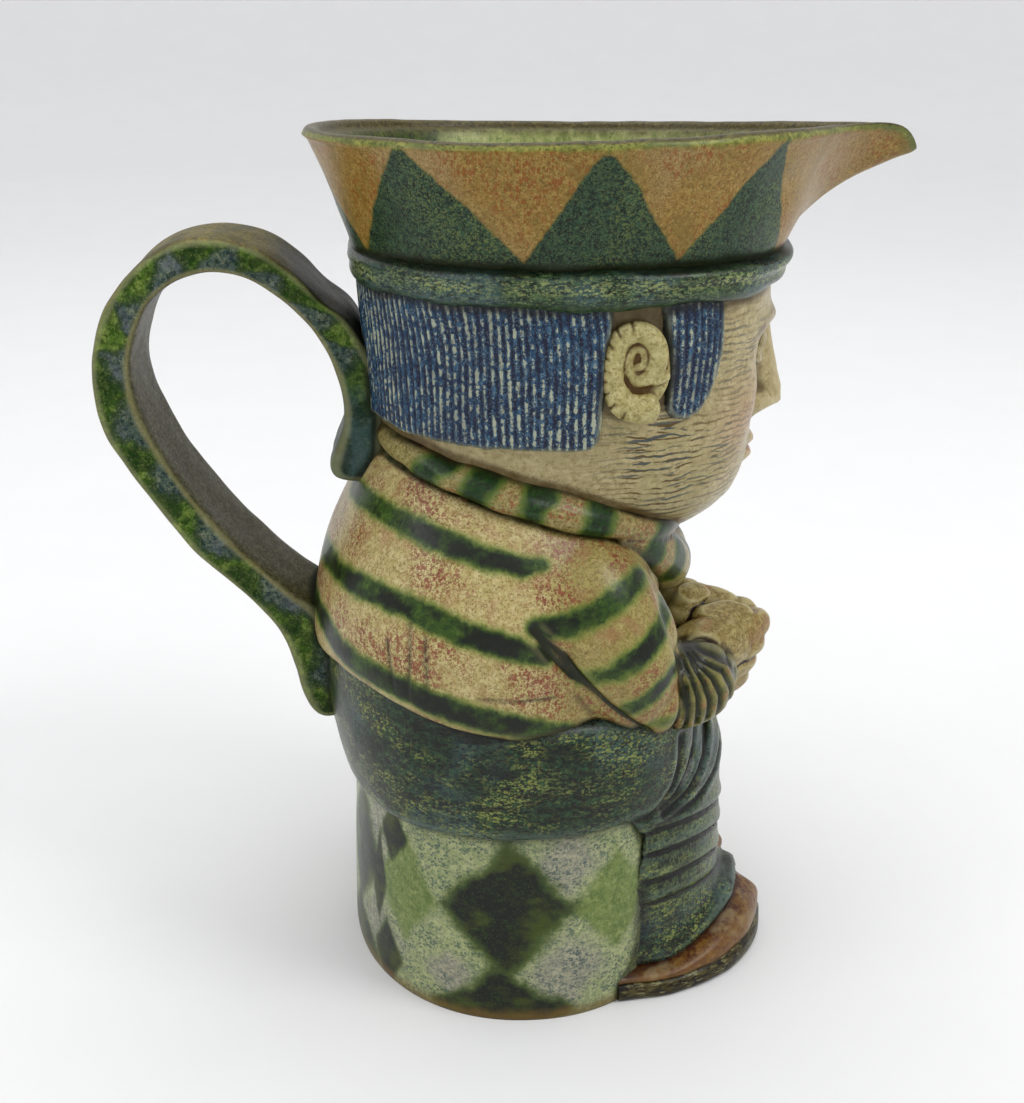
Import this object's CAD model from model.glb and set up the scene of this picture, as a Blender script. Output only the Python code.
"""The looks of a glazed stoneware character jug: a seated figure with a strap handle and a pouring hat.

Lengths are in millimetres until a piece is made. The figure faces +X, Z is up, and -Y is its right side.
"""

import math

import bmesh
import bpy
import numpy as np
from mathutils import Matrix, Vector


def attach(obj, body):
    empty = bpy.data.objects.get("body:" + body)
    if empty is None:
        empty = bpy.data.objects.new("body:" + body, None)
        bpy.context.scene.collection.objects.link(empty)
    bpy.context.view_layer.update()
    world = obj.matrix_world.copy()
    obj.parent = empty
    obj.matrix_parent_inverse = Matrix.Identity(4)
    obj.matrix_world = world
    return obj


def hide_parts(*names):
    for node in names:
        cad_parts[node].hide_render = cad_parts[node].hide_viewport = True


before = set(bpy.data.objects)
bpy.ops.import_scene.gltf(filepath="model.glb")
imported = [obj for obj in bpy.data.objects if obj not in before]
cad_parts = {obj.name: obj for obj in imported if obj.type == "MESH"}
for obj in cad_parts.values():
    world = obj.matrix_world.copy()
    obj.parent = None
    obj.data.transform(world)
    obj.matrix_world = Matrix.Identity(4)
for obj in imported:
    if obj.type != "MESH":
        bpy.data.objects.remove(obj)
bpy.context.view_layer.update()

MM = 0.001
# How thick the clay is in the vessel's wall, at its lip and in its floor, and under the head's skin.
WALL = 6.0
LIP = 5.5
FLOOR = 7.0
SKIN = 2.6
STRAP_WIDTH = 38.0
# How far the hair stands off the head, and how wide one of its strands is.
HAIR_DEPTH = 3.5
STRAND = 2.2
# The rim is drawn out into a spout at the front, leans to one side and waves a little.
SPOUT_REACH = 34.0
SPOUT_DROP = 8.0
SPOUT_RISE = 0.5
RIM_LEAN = 2.8
RIM_WAVE = 1.1
# How far the left foot is set back, and how deep the notch between the toes is.
FOOT_BACK = 6.0
TOE_NOTCH = 12.0
# How far the middle of an eye is from the middle of the face.
EYE_OUT = 16.5
# How square the outlines are seen from above: 2 is an ellipse, and more is squarer.
POT_POWER = 2.15
HEAD_POWER = 2.3
BODY_POWER = 2.2
LEG_POWER = 2.3
SHOE_POWER = 2.4
DRUM_POWER = 2.1
DRUM_COLUMNS = 460
STRAP_POWER = 8.0
# The part of the faces that stays when the finished pieces are thinned.
KEPT_FACES = 0.62
# How far the lowest point stays above the solid's foot.
FLOOR_GAP = 0.02

# Outlines from below upwards: (height at the back, height at the front, back, front, half width).
DRUM = (
    (0, 0, -54.5, 54.5, 69.5),
    (0.6, 0.6, -55.2, 55.2, 70.2),
    (2.5, 2.5, -56, 56, 71),
    (30, 30, -55.5, 55.5, 70.5),
    (66, 66, -54, 54, 66.5),
)
SEAT = (
    (60.5, 63, -54, 55, 66),
    (62, 64.5, -56.6, 58, 69.8),
    (66, 68, -58, 60, 71.6),
    (76, 77, -60.5, 61, 72.7),
    (87, 87, -62, 60, 72.4),
    (97, 96, -61.5, 56, 70.3),
    (101, 100, -59, 50, 66),
)
TORSO = (
    (95, 95.5, -61.5, 42, 67),
    (95.6, 96.2, -64, 44.6, 70),
    (97.5, 98.5, -65.6, 45.7, 71.7),
    (102, 102, -66.3, 46, 72.4),
    (112, 109, -66.4, 46, 72.8),
    (126, 118, -64.5, 45, 72.8),
    (141, 126, -60, 45, 71),
    (153, 135, -54.5, 46, 66),
    (163, 139, -49.5, 48, 60.5),
    (171, 142, -44, 50, 54.5),
    (175, 144, -38, 48, 48),
)
# How far the jumper's hem and the seat's top rise above level, by x: the jumper rides up behind.
HEM_RISE = ((-66, 10), (-57, 12.5), (-47, 11.8), (-35, 8.5), (-21.5, 4.2), (-5, 0.2), (13, 0), (70, 0))
COLLAR = (
    (171, 141, -42, 49, 52.5),
    (172.5, 143, -45.2, 52, 56),
    (175, 146, -46, 53, 57.2),
    (178, 149, -45, 53, 55.8),
    (181.5, 152, -41, 51, 51.5),
    (184, 156, -36, 46, 46.5),
)
HEAD = (
    (143, 137, -26, 38, 27),
    (150, 142, -32, 50, 34),
    (156, 146, -37, 57.5, 40.5),
    (161, 151.5, -40, 64, 45.5),
    (166, 158, -42, 68.5, 49.5),
    (173, 168, -43.5, 71, 52.5),
    (182, 180, -44, 72.5, 55),
    (192, 191, -44, 73.5, 56),
    (202, 202, -44, 75, 56.5),
    (212, 212, -44.5, 76, 57),
    (228, 228, -46, 76, 57),
)
BAND = (
    (219.2, 219.2, -46.5, 74.5, 58),
    (220, 220, -49.3, 77.2, 61.2),
    (222, 222, -51, 79.4, 63),
    (225, 225, -51.6, 80.8, 63.4),
    (227.4, 227.4, -51.2, 81.6, 62.9),
    (229.2, 229.2, -50.4, 81.4, 61.7),
    (230.2, 230.2, -47, 77, 58),
)
HAT = (
    (228, 228, -50, 78.5, 59),
    (233, 233, -51.3, 81, 60.5),
    (241, 241, -54.3, 83, 63.5),
    (250, 250, -57.7, 83.5, 67),
    (258, 258, -61, 85.5, 70.5),
    (263, 263, -63.5, 88.2, 72),
)
LEGS = (
    (7.6, 7.6, -40, 74, 57.5),
    (8, 8, -44, 76, 59.2),
    (11, 11, -44, 74.3, 59.3),
    (14, 14, -44, 71.6, 59),
    (19, 19, -44, 69.3, 59),
    (28, 28, -44, 68, 59),
    (60, 60, -44, 68, 59),
    (68, 69, -44, 67.5, 58.5),
    (75, 76, -40, 63, 56),
    (80, 80, -30, 52, 48),
)
SHOES = (
    (5.2, 5.2, -44, 82.2, 62),
    (6, 6, -44, 83, 62.7),
    (7, 7, -44, 82.6, 62.3),
    (8, 8, -44, 80, 60.6),
    (8.8, 8.8, -44, 75, 57),
    (9.1, 9.1, -44, 70, 53),
)
SOLES = (
    (0, 0, -44, 82.5, 62.6),
    (0.7, 0.7, -44, 83.6, 63.6),
    (2.5, 2.5, -44, 83.9, 64),
    (4.8, 4.8, -44, 83.6, 63.7),
    (5.6, 5.6, -44, 82.6, 62.7),
)
# The skin that the hollow follows, one wall thickness in.
INSIDE = (
    (7, 7, -54, 54, 69),
    (30, 30, -54, 54, 69),
    (58, 58, -54, 54, 67),
    (74, 74, -58, 52, 69),
    (97, 96, -64, 46, 69.5),
    (113, 109, -66, 45.5, 73),
    (127, 119, -63.5, 44.5, 72.5),
    (142, 128, -58.5, 44.5, 69),
    (154, 135, -52, 44.5, 62),
    (164, 141, -46, 46, 51.5),
    (174, 150, -42, 56, 47.5),
    (184, 170, -43, 65, 51.5),
    (202, 200, -44, 72, 55.5),
    (222, 222, -46, 75, 57),
    (232, 232, -49.5, 79.5, 59.5),
    (241, 241, -53.5, 82, 62.5),
    (250, 250, -57, 83, 66.5),
    (258, 258, -60.8, 85.5, 70.4),
    (263, 263, -63.3, 88, 72),
)
# The strap from its curl by the collar, up the back of the head, round the loop and down to the seat:
# (x, z) of its outer face, then (x, z) of its inner face.
STRAP = (
    (-43, 157.5, -52.5, 158.5), (-41, 160.5, -57.2, 161), (-41, 165, -58, 165), (-41, 170.5, -56, 170.2),
    (-41, 177, -53.6, 177), (-41.5, 185, -53.5, 185), (-43, 194, -56, 194.2), (-47, 202, -60, 202.6),
    (-51.5, 209.3, -65, 209.5), (-58.5, 215, -71.5, 216), (-67, 223.6, -80, 221.2),
    (-77.5, 230.4, -87, 222.9), (-90, 233, -93.5, 222.7), (-102, 231.2, -101, 220),
    (-112.5, 224.6, -108.3, 214.2), (-120.5, 215, -112.8, 206), (-126, 203, -115.1, 197.5),
    (-127.6, 190, -115.2, 188.5), (-125.6, 176.5, -112.9, 179.4),
    (-119, 163.7, -107, 167), (-110, 150, -99, 154), (-100, 136.3, -89.5, 141.3), (-90, 126, -80, 131.5),
    (-81.3, 116.8, -71, 122.8), (-75.2, 107.4, -63, 116.5), (-72.2, 97, -56, 104), (-69.8, 87, -54, 93),
    (-66, 81, -54, 86), (-61, 79.2, -54, 80.5),
)
# A limb is a run of (x, y, z, radius), on the figure's right side.
UPPER_ARM = (
    (8, -42, 140, 16), (15, -47, 133, 20.3), (21, -50.5, 124.5, 21.3), (26, -51.3, 115.5, 20.6),
    (31, -50.6, 107, 17.4), (36, -50, 101.3, 14), (39.2, -50, 98.6, 10.6),
)
FOREARM = (
    (34, -47, 101, 9), (40, -45, 99.5, 12), (45.5, -42, 99.5, 13.4), (51, -37.5, 99, 13.6),
    (55.5, -32, 98, 12.4), (58.5, -27, 97, 10.2),
)
COLLAR_ROLL = (
    (24, -45, 148.5, 5.5), (32, -38.5, 144.5, 7), (39.5, -29, 138.8, 8.2), (45, -15, 130.6, 9.2),
    (46.6, 0, 127.6, 9.3),
)


def smooth_run(points, step):
    """Points about step apart on a smooth curve through the given ones, with any more values they carry."""
    points = np.array(points, float)
    ends = np.concatenate([[2 * points[0] - points[1]], points, [2 * points[-1] - points[-2]]])
    share = np.linspace(0, 1, 24, endpoint=False)[:, None]
    fine = []
    for a, b, c, d in zip(ends, ends[1:], ends[2:], ends[3:]):
        bend = (2 * a - 5 * b + 4 * c - d) * share**2 + (3 * b - a - 3 * c + d) * share**3
        fine.append(b + 0.5 * ((c - a) * share + bend))
    fine = np.concatenate([*fine, points[-1:]])
    gone = np.concatenate([[0], np.cumsum(np.linalg.norm(np.diff(fine, axis=0), axis=1))])
    places = np.linspace(0, gone[-1], max(2, round(gone[-1] / step) + 1))
    return np.stack([np.interp(places, gone, column) for column in fine.T], axis=1)


def signed_power(values, power):
    """Powers that keep the sign."""
    return np.sign(values) * np.abs(values) ** power


def even_turns(row, power, columns):
    """Angles that put points evenly round an outline, starting at the front."""
    turn = np.linspace(0, 2 * math.pi, 4001)
    x = signed_power(np.cos(turn), 2 / power) * (row[3] - row[2]) / 2
    y = signed_power(np.sin(turn), 2 / power) * row[4]
    gone = np.concatenate([[0], np.cumsum(np.hypot(np.diff(x), np.diff(y)))])
    return np.interp(np.arange(columns) / columns * gone[-1], gone, turn)


def up_hat(height):
    """How much of the rim's spout and waves a height of the hat has: none below it, all at its rim."""
    return np.clip((height - HAT[0][0]) / (HAT[-1][0] - HAT[0][0]), 0, 1) ** 1.6


def outlines(rows, power, columns, inset=0.0, spout=False):
    """A grid of points, one closed outline a row, pulled in by inset, with or without the pouring spout."""
    rows = np.array(rows, float)
    turn = even_turns(rows[len(rows) // 2], power, columns)[None, :]
    low, high, back, front, half = (column[:, None] for column in rows.T)
    inset = np.broadcast_to(np.asarray(inset, float), len(rows))[:, None]
    back, front, half = back + inset, front - inset, half - inset
    along, across = signed_power(np.cos(turn), 2 / power), signed_power(np.sin(turn), 2 / power)
    x = (back + front) / 2 + along * (front - back) / 2
    z = low + (high - low) * (along + 1) / 2
    if spout:
        share = up_hat(low)
        off_front = np.abs((turn + math.pi) % (2 * math.pi) - math.pi)
        drawn = 1 / (1 + (off_front / 0.17) ** 2)
        uneven = RIM_WAVE * np.cos(2 * turn + 0.63) - RIM_LEAN * across
        x = x + share * SPOUT_REACH * drawn
        z = z + share * (SPOUT_RISE * drawn - (SPOUT_RISE + SPOUT_DROP) * drawn**8 + uneven)
    return np.stack([x, across * half, z + 0 * across], axis=2)


def grid_faces(levels, columns, joined):
    """Quads between neighbouring outlines. When joined, the last outline meets the first."""
    level = np.arange(levels if joined else levels - 1)[:, None]
    column = np.arange(columns)[None, :]
    here, above = level * columns, (level + 1) % levels * columns
    after = (column + 1) % columns
    return np.stack([here + column, here + after, above + after, above + column], axis=-1).reshape(-1, 4)


def capped(grid):
    """A closed shape over a stack of outlines, with a fan at each end, clear of the hollow."""
    levels, columns = grid.shape[:2]
    points = keep_out(np.concatenate([grid.reshape(-1, 3), [grid[0].mean(axis=0)], [grid[-1].mean(axis=0)]]))
    faces = grid_faces(levels, columns, False).tolist()
    low, high, last = len(points) - 2, len(points) - 1, (levels - 1) * columns
    for i in range(columns):
        j = (i + 1) % columns
        faces += [(j, i, low), (last + i, last + j, high)]
    return points, faces


def ring(grid):
    """A closed, hollow shape: a stack of outlines whose last one meets the first."""
    return grid.reshape(-1, 3), grid_faces(*grid.shape[:2], True).tolist()


def grid_normals(grid):
    """The outward direction at each point of a grid."""
    along = np.gradient(grid, axis=0)
    around = np.roll(grid, -1, axis=1) - np.roll(grid, 1, axis=1)
    normal = np.cross(around, along)
    return normal / np.maximum(np.linalg.norm(normal, axis=2, keepdims=True), 1e-9)


def pushed(grid, amount):
    """The grid moved outwards along its own normals."""
    return grid + grid_normals(grid) * np.asarray(amount)[..., None]


def shell(outer, rows, power, thick, shape=None):
    """A hollow ring of clay: the outer grid, and the same rows one thickness further in, shaped alike."""
    inner = outlines(rows[::4], power, outer.shape[1], thick)
    if shape:
        inner = shape(inner)
    return ring(np.concatenate([outer, keep_out(inner[::-1])]))


def wobble(points, size, seed):
    """Smooth, repeatable unevenness between about -1 and 1, with bumps about size wide."""
    rng = np.random.default_rng(seed)
    total = np.zeros(points.shape[:-1])
    for _ in range(14):
        direction = rng.normal(size=3)
        wave = direction / np.linalg.norm(direction) * 2 * math.pi / (size * rng.uniform(1.2, 3.0))
        total += np.sin(points @ wave + rng.uniform(0, 2 * math.pi))
    return total / 5


def bump(value, middle, half):
    """One at the middle, and falling smoothly to about a third at half a width from it."""
    return np.exp(-(((value - middle) / half) ** 2))


def step_up(value, low, high):
    """Nought below low and one above high, smooth between."""
    share = np.clip((value - low) / (high - low), 0, 1)
    return share * share * (3 - 2 * share)


def line_distance(places, line):
    """Distance from each 2-D or 3-D place to a run of points, whose last value is the mark's half width."""
    line = np.array(line, float)
    size = places.shape[-1]
    best = np.full(places.shape[:-1], 1e9)
    for start, end in zip(line, line[1:]):
        span = end[:size] - start[:size]
        share = np.clip(((places - start[:size]) @ span) / (span @ span), 0, 1)
        away = np.linalg.norm(places - start[:size] - share[..., None] * span, axis=-1)
        best = np.minimum(best, away - start[size] - share * (end[size] - start[size]))
    return best


def side_view(points):
    """Each point as the side view shows it: (x, z)."""
    return points[..., [0, 2]]


HOLLOW_ROWS = smooth_run(INSIDE, 1.0)


def keep_out(points):
    """Points that would lie in the hollow, moved out into the wall round it."""
    points = np.array(points, float)
    rows = HOLLOW_ROWS
    middle = (rows[:, 0] + rows[:, 1]) / 2
    level = points[..., 2].copy()
    for _ in range(12):
        tilt = np.interp(level, middle, rows[:, 1] - rows[:, 0])
        back, front = (np.interp(level, middle, rows[:, i]) for i in (2, 3))
        share = np.clip((points[..., 0] - back) / (front - back), 0, 1)
        level = 0.5 * level + 0.5 * (points[..., 2] - tilt * (share - 0.5))
    inset = WALL - 1.4
    back, front, half = (np.interp(level, middle, rows[:, i]) for i in (2, 3, 4))
    centre = (back + front) / 2
    reach_x, reach_y = (front - back) / 2 - inset, half - inset
    u, v = (points[..., 0] - centre) / reach_x, points[..., 1] / reach_y
    share = (np.abs(u) ** POT_POWER + np.abs(v) ** POT_POWER) ** (1 / POT_POWER)
    inside = (share < 1) & (level > FLOOR - 3) & (level < 262)
    grow = np.where(inside, 1 / np.maximum(share, 0.05), 1)
    points[..., 0] = centre + (points[..., 0] - centre) * grow
    points[..., 1] = points[..., 1] * grow
    return points


def sweep(run, columns, flat=1.0, side=(0, 0, 1)):
    """Rings round a run of (x, y, z, radius). Flat is the share of the radius left along side."""
    run = np.array(run, float)
    path, radius = run[:, :3], run[:, 3]
    ahead = np.gradient(path, axis=0)
    ahead /= np.linalg.norm(ahead, axis=1, keepdims=True)
    across = np.cross(np.broadcast_to(side, ahead.shape), ahead)
    across /= np.linalg.norm(across, axis=1, keepdims=True)
    up = np.cross(ahead, across)
    turn = np.linspace(0, 2 * math.pi, columns, endpoint=False)[None, :, None]
    ring_part = across[:, None] * np.cos(turn) + up[:, None] * np.sin(turn) * flat
    return path[:, None] + ring_part * radius[:, None, None]


def rounded_ends(run):
    """The run with half-round ends, made from shrinking rings."""
    run = np.array(run, float)
    turn = np.linspace(0, math.pi / 2, 6, endpoint=False)
    tips = []
    for here, beside in ((run[0], run[1]), (run[-1], run[-2])):
        out = (here[:3] - beside[:3]) / np.linalg.norm(here[:3] - beside[:3])
        place = here[:3] + out * here[3] * np.sin(turn[1:])[:, None] * 0.8
        tips.append(np.column_stack([place, here[3] * np.cos(turn[1:])]))
    return np.concatenate([tips[0][::-1], run, tips[1]])


def piece(name, shape, material=None):
    """A mesh object in metres, smooth, with its faces outwards."""
    points, faces = shape
    mesh = bpy.data.meshes.new(name)
    mesh.from_pydata((np.asarray(points) * MM).tolist(), [], faces)
    data = bmesh.new()
    data.from_mesh(mesh)
    bmesh.ops.recalc_face_normals(data, faces=data.faces)
    data.to_mesh(mesh)
    data.free()
    mesh.shade_smooth()
    item = bpy.data.objects.new(name, mesh)
    bpy.context.scene.collection.objects.link(item)
    if material:
        mesh.materials.append(material)
    return item


def joined_shapes(*shapes):
    """Some shapes as one list of points and faces."""
    points, faces, count = [], [], 0
    for some_points, some_faces in shapes:
        points.append(np.asarray(some_points))
        faces += [tuple(int(i) + count for i in face) for face in some_faces]
        count += len(some_points)
    return np.concatenate(points), faces


def mesh_points(item):
    flat = np.empty(len(item.data.vertices) * 3)
    item.data.vertices.foreach_get("co", flat)
    return flat.reshape(-1, 3) / MM


def mesh_normals(item):
    flat = np.empty(len(item.data.vertices) * 3, np.float32)
    item.data.vertex_normals.foreach_get("vector", flat)
    return flat.reshape(-1, 3).astype(float)


def set_points(item, points):
    item.data.vertices.foreach_set("co", (points * MM).ravel())
    item.data.update()


def mesh_edges(item):
    flat = np.empty(len(item.data.edges) * 2, np.int32)
    item.data.edges.foreach_get("vertices", flat)
    return flat.reshape(-1, 2)


def neighbour_mean(values, edges, count):
    """The mean of each point's neighbours."""
    total = np.zeros((count, values.shape[1]))
    number = np.zeros(count)
    for a, b in ((0, 1), (1, 0)):
        for column in range(values.shape[1]):
            total[:, column] += np.bincount(edges[:, a], values[edges[:, b], column], count)
        number += np.bincount(edges[:, a], minlength=count)
    return total / np.maximum(number, 1)[:, None]


def relaxed(item, times, weight=1.0):
    """Softens a mesh by moving each point towards the mean of its neighbours."""
    points, edges = mesh_points(item), mesh_edges(item)
    weight = np.broadcast_to(weight, len(points))[:, None]
    for _ in range(times):
        points += (neighbour_mean(points, edges, len(points)) - points) * 0.6 * weight
    set_points(item, points)


def fused(name, shapes, voxel, relax, material):
    """One skin round overlapping shapes, cut from cells of the voxel's size and then softened."""
    item = piece(name, joined_shapes(*shapes))
    remesh = item.modifiers.new("fuse", "REMESH")
    remesh.mode = "VOXEL"
    remesh.voxel_size = voxel * MM
    graph = bpy.context.evaluated_depsgraph_get()
    mesh = bpy.data.meshes.new_from_object(item.evaluated_get(graph))
    item.modifiers.clear()
    item.data = mesh
    mesh.name = name
    mesh.shade_smooth()
    mesh.materials.clear()
    relaxed(item, relax)
    mesh.materials.append(material)
    return item


def push(item, amount):
    """Moves each point of a mesh outwards."""
    set_points(item, mesh_points(item) + mesh_normals(item) * np.asarray(amount)[:, None])


def paint(item, name, values):
    """Keeps one number for each point, which the glazes read."""
    layer = item.data.attributes.new(name, "FLOAT", "POINT")
    layer.data.foreach_set("value", np.asarray(values, np.float32).ravel())


def flat_places(points, centre, radius):
    """The surface unrolled: millimetres round from the front, negative on the right side, and height."""
    around = np.arctan2(points[..., 1], points[..., 0] - centre) * radius
    return np.stack([around, points[..., 2]], axis=-1)


# The painted triangles of the hat: (degrees from the front, height) along their zigzag edge.
HAT_ZIGZAG = (
    (0, 226), (28.5, 229), (31, 235.4), (41.9, 264.5), (63.7, 231.7), (84.4, 263), (103, 231.2),
    (128.7, 262.7), (152.7, 231.2), (180, 262.5),
)
# The hat is unrolled round this x at this radius. Its lip is a half round of outlines above this height.
HAT_MIDDLE = 12.0
HAT_ROUND = 66
LIP_START = 259.4
LIP_RINGS = 16


def pot_rows():
    """The pot's outlines with their insets: up the hat, over the lip, down inside, and up within the wall.

    The three counts say where the lip, the inside and its floor start.
    """
    sides, inner = smooth_run(HAT, 1.5), smooth_run(INSIDE, 2.2)[::-1]
    sides, inner = sides[sides[:, 0] < LIP_START], inner[inner[:, 0] < LIP_START]
    top, half = np.array(HAT[-1], float), LIP / 2
    rows, insets = [*sides], [*np.interp(sides[:, 0], [250, LIP_START], [0, -0.35])]
    for angle in np.linspace(0.05, math.pi - 0.05, LIP_RINGS):
        rise = half * math.sin(angle) - half - 0.25
        rows.append(top + np.array([rise, rise, 0, 0, 0]))
        insets.append(half * (1 - math.cos(angle)) - 0.1)
    rows += [*inner]
    insets += [*(WALL + (LIP - WALL) * up_hat(inner[:, 0]))]
    for fall, inset in ((0.0, 9.5), (-0.2, 14), (-0.2, 40), (-3.0, 38), (-3.0, 1)):
        rows.append(inner[-1] + np.array([fall, fall, 0, 0, 0]))
        insets.append(WALL + inset)
    within = smooth_run(INSIDE, 12.0)
    within = within[(within[:, 0] > 8) & (within[:, 0] < 227)]
    rows += [*within]
    insets += [WALL - 2] * len(within)
    lip, inside = len(sides), len(sides) + LIP_RINGS
    return rows, insets, (lip, inside, inside + len(inner))


def vessel(material):
    """The hat outside, its rolled lip, and the whole inside down to the floor, as one thrown pot."""
    rows, insets, (lip, inside, floor) = pot_rows()
    columns = 480
    grid = outlines(rows, POT_POWER, columns, insets, spout=True)
    height = grid[..., 2]
    relief = 0.3 * wobble(grid, 22, 3) + 0.12 * wobble(grid, 7, 4)
    relief[lip:inside] -= 0.4
    throwing = 0.35 * np.sin(height / 1.35 + 2.5 * wobble(grid, 40, 5)) + 0.3 * np.sin(height / 2.9)
    relief[inside:] = 0.5 * throwing[inside:] * (height[inside:] > 60)
    relief[floor + 2:] = 0
    grid = pushed(grid, relief)
    item = piece("vessel", ring(grid), material)
    level = np.repeat(np.arange(len(rows)), columns)
    corners = [(math.radians(angle) * HAT_ROUND, z) for angle, z in HAT_ZIGZAG]
    far, below = math.pi * HAT_ROUND, 150
    corners = [(-u, z) for u, z in corners[::-1]] + corners[1:] + [(far, below), (-far, below)]
    triangles = polygon_inside(flat_places(grid, HAT_MIDDLE, HAT_ROUND), corners)
    paint(item, "triangle", triangles + 0.35 * wobble(grid, 6, 6))
    paint(item, "inner", step_up(level, lip + 5, inside))
    paint(item, "from_lip", level - (lip + LIP_RINGS / 2))
    paint(item, "depth", HAT[-1][0] - grid[..., 2])
    paint(item, "back", 1 - step_up(grid[..., 0], -48, -6))
    return item


def band(material):
    """A thick coil under the hat, finger-pressed along its lower half."""
    rows = smooth_run(BAND, 0.7)
    grid = outlines(rows, HEAD_POWER, 600)
    lumpy, height = wobble(grid, 16, 11), grid[..., 2]
    ridge = 0.35 * bump(height, 227.6 + 0.4 * lumpy, 1.2) - 0.45 * bump(height, 225.2 + 0.5 * lumpy, 1.2)
    grid = pushed(grid, np.clip(ridge + 0.35 * lumpy, -1.2, 0.5))
    low = 1 - step_up(grid[..., 2], 219, 225)
    wavy = 0.4 * wobble(grid, 30, 12)
    pressed = 0.9 * wobble(grid, 20, 13) + 0.4 * wobble(grid, 7, 14)
    grid[..., 2] += wavy + low * pressed
    item = piece("hat_band", shell(grid, rows, HEAD_POWER, 4), material)
    paint_part(item, "level", (grid[..., 2] - 219) / 11.5)
    return item


def paint_part(item, name, values):
    """Paints the first points of a piece and leaves the rest, which are hidden, at nought."""
    full = np.zeros(len(item.data.vertices))
    full[: values.size] = values.ravel()
    paint(item, name, full)


def face_relief(y, z):
    """How far the face stands forward of the plain head: calm and even, on the thirds of drawing books.

    Brow, base of nose and chin are a third of the face apart, and the eyes are one eye width apart.
    """
    brow, eye, nose, mouth, chin = 209.0, 199.5, 177.5, 166.5, 147.0
    side = np.abs(y)
    out = 2.4 * bump(z, brow, 3.2) * bump(side, 15, 13)
    out -= 3.4 * bump(side, 16, 9.5) * bump(z, eye + 0.5, 6.5)
    ball = np.clip(1 - ((side - EYE_OUT) / 8.6) ** 2 - ((z - eye) / 5.6) ** 2, 0, 1)
    out += 3.1 * np.sqrt(ball)
    lid = eye + 2.1 - 0.03 * (side - 16) ** 2
    lower = eye - 2.9 + 0.026 * (side - 16) ** 2
    inside = step_up(9.3 - np.abs(side - EYE_OUT), 0, 1.5)
    out += inside * (0.9 * bump(z, lid + 0.9, 1.0) - 0.55 * bump(z, lid - 0.4, 0.5))
    out += inside * (0.5 * bump(z, lower - 0.8, 0.9) - 0.4 * bump(z, lower + 0.3, 0.5))
    out -= 0.7 * inside * bump(z, lid + 3.0, 0.8)
    out += 1.8 * bump(side, 30, 10) * bump(z, 187, 9)
    heights = [nose - 3.4, nose - 1.4, nose + 1, nose + 6, eye, brow - 2, brow + 6]
    ridge = np.interp(z, heights, [0, 5.2, 10.8, 10.2, 4.6, 2.4, 0.6])
    spread = np.interp(z, [nose - 3, nose + 1, nose + 6, eye, brow], [6.6, 6.4, 5.0, 3.9, 4.6])
    out += ridge * np.exp(-((side / spread) ** 2.4))
    out += 3.6 * bump(side, 7.2, 3.0) * bump(z, nose + 2.2, 3.2)
    out -= 0.8 * bump(side, 10.8, 1.6) * bump(z, nose + 3, 4)
    out -= 0.9 * bump(side, 0, 1.7) * bump(z, (nose + mouth) / 2 + 0.5, 3.4)
    out += 1.5 * bump(side, 0, 15) * bump(z, mouth, 8)
    parting = mouth - 0.4 + 0.012 * side**1.5
    width = step_up(13.5 - side, 0, 5)
    lips = 1.7 * bump(z, parting + 2.3, 1.9) + 2.0 * bump(z, parting - 2.7, 2.2)
    out += width * (lips - 1.5 * bump(z, parting, 0.8))
    out -= 1.5 * bump(side, 0, 13) * bump(z, mouth - 8.2, 2.6)
    out += 3.4 * bump(side, 0, 12) * bump(z, chin + 4.5, 6)
    return out


def polygon_inside(places, corners):
    """Signed distance to the edge of a 2-D shape, positive inside it."""
    corners = np.array(corners, float)
    closed = np.vstack([corners, corners[:1]])
    edge = line_distance(places, np.column_stack([closed, np.zeros(len(closed))]))
    u, v = places[..., 0], places[..., 1]
    inside = np.zeros(u.shape, bool)
    for (x1, y1), (x2, y2) in zip(corners, np.roll(corners, -1, axis=0)):
        crosses = (y1 > v) != (y2 > v)
        reach = x1 + (v - y1) * (x2 - x1) / (1 if y2 == y1 else y2 - y1)
        inside ^= crosses & (u < reach)
    return np.where(inside, edge, -edge)


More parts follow.
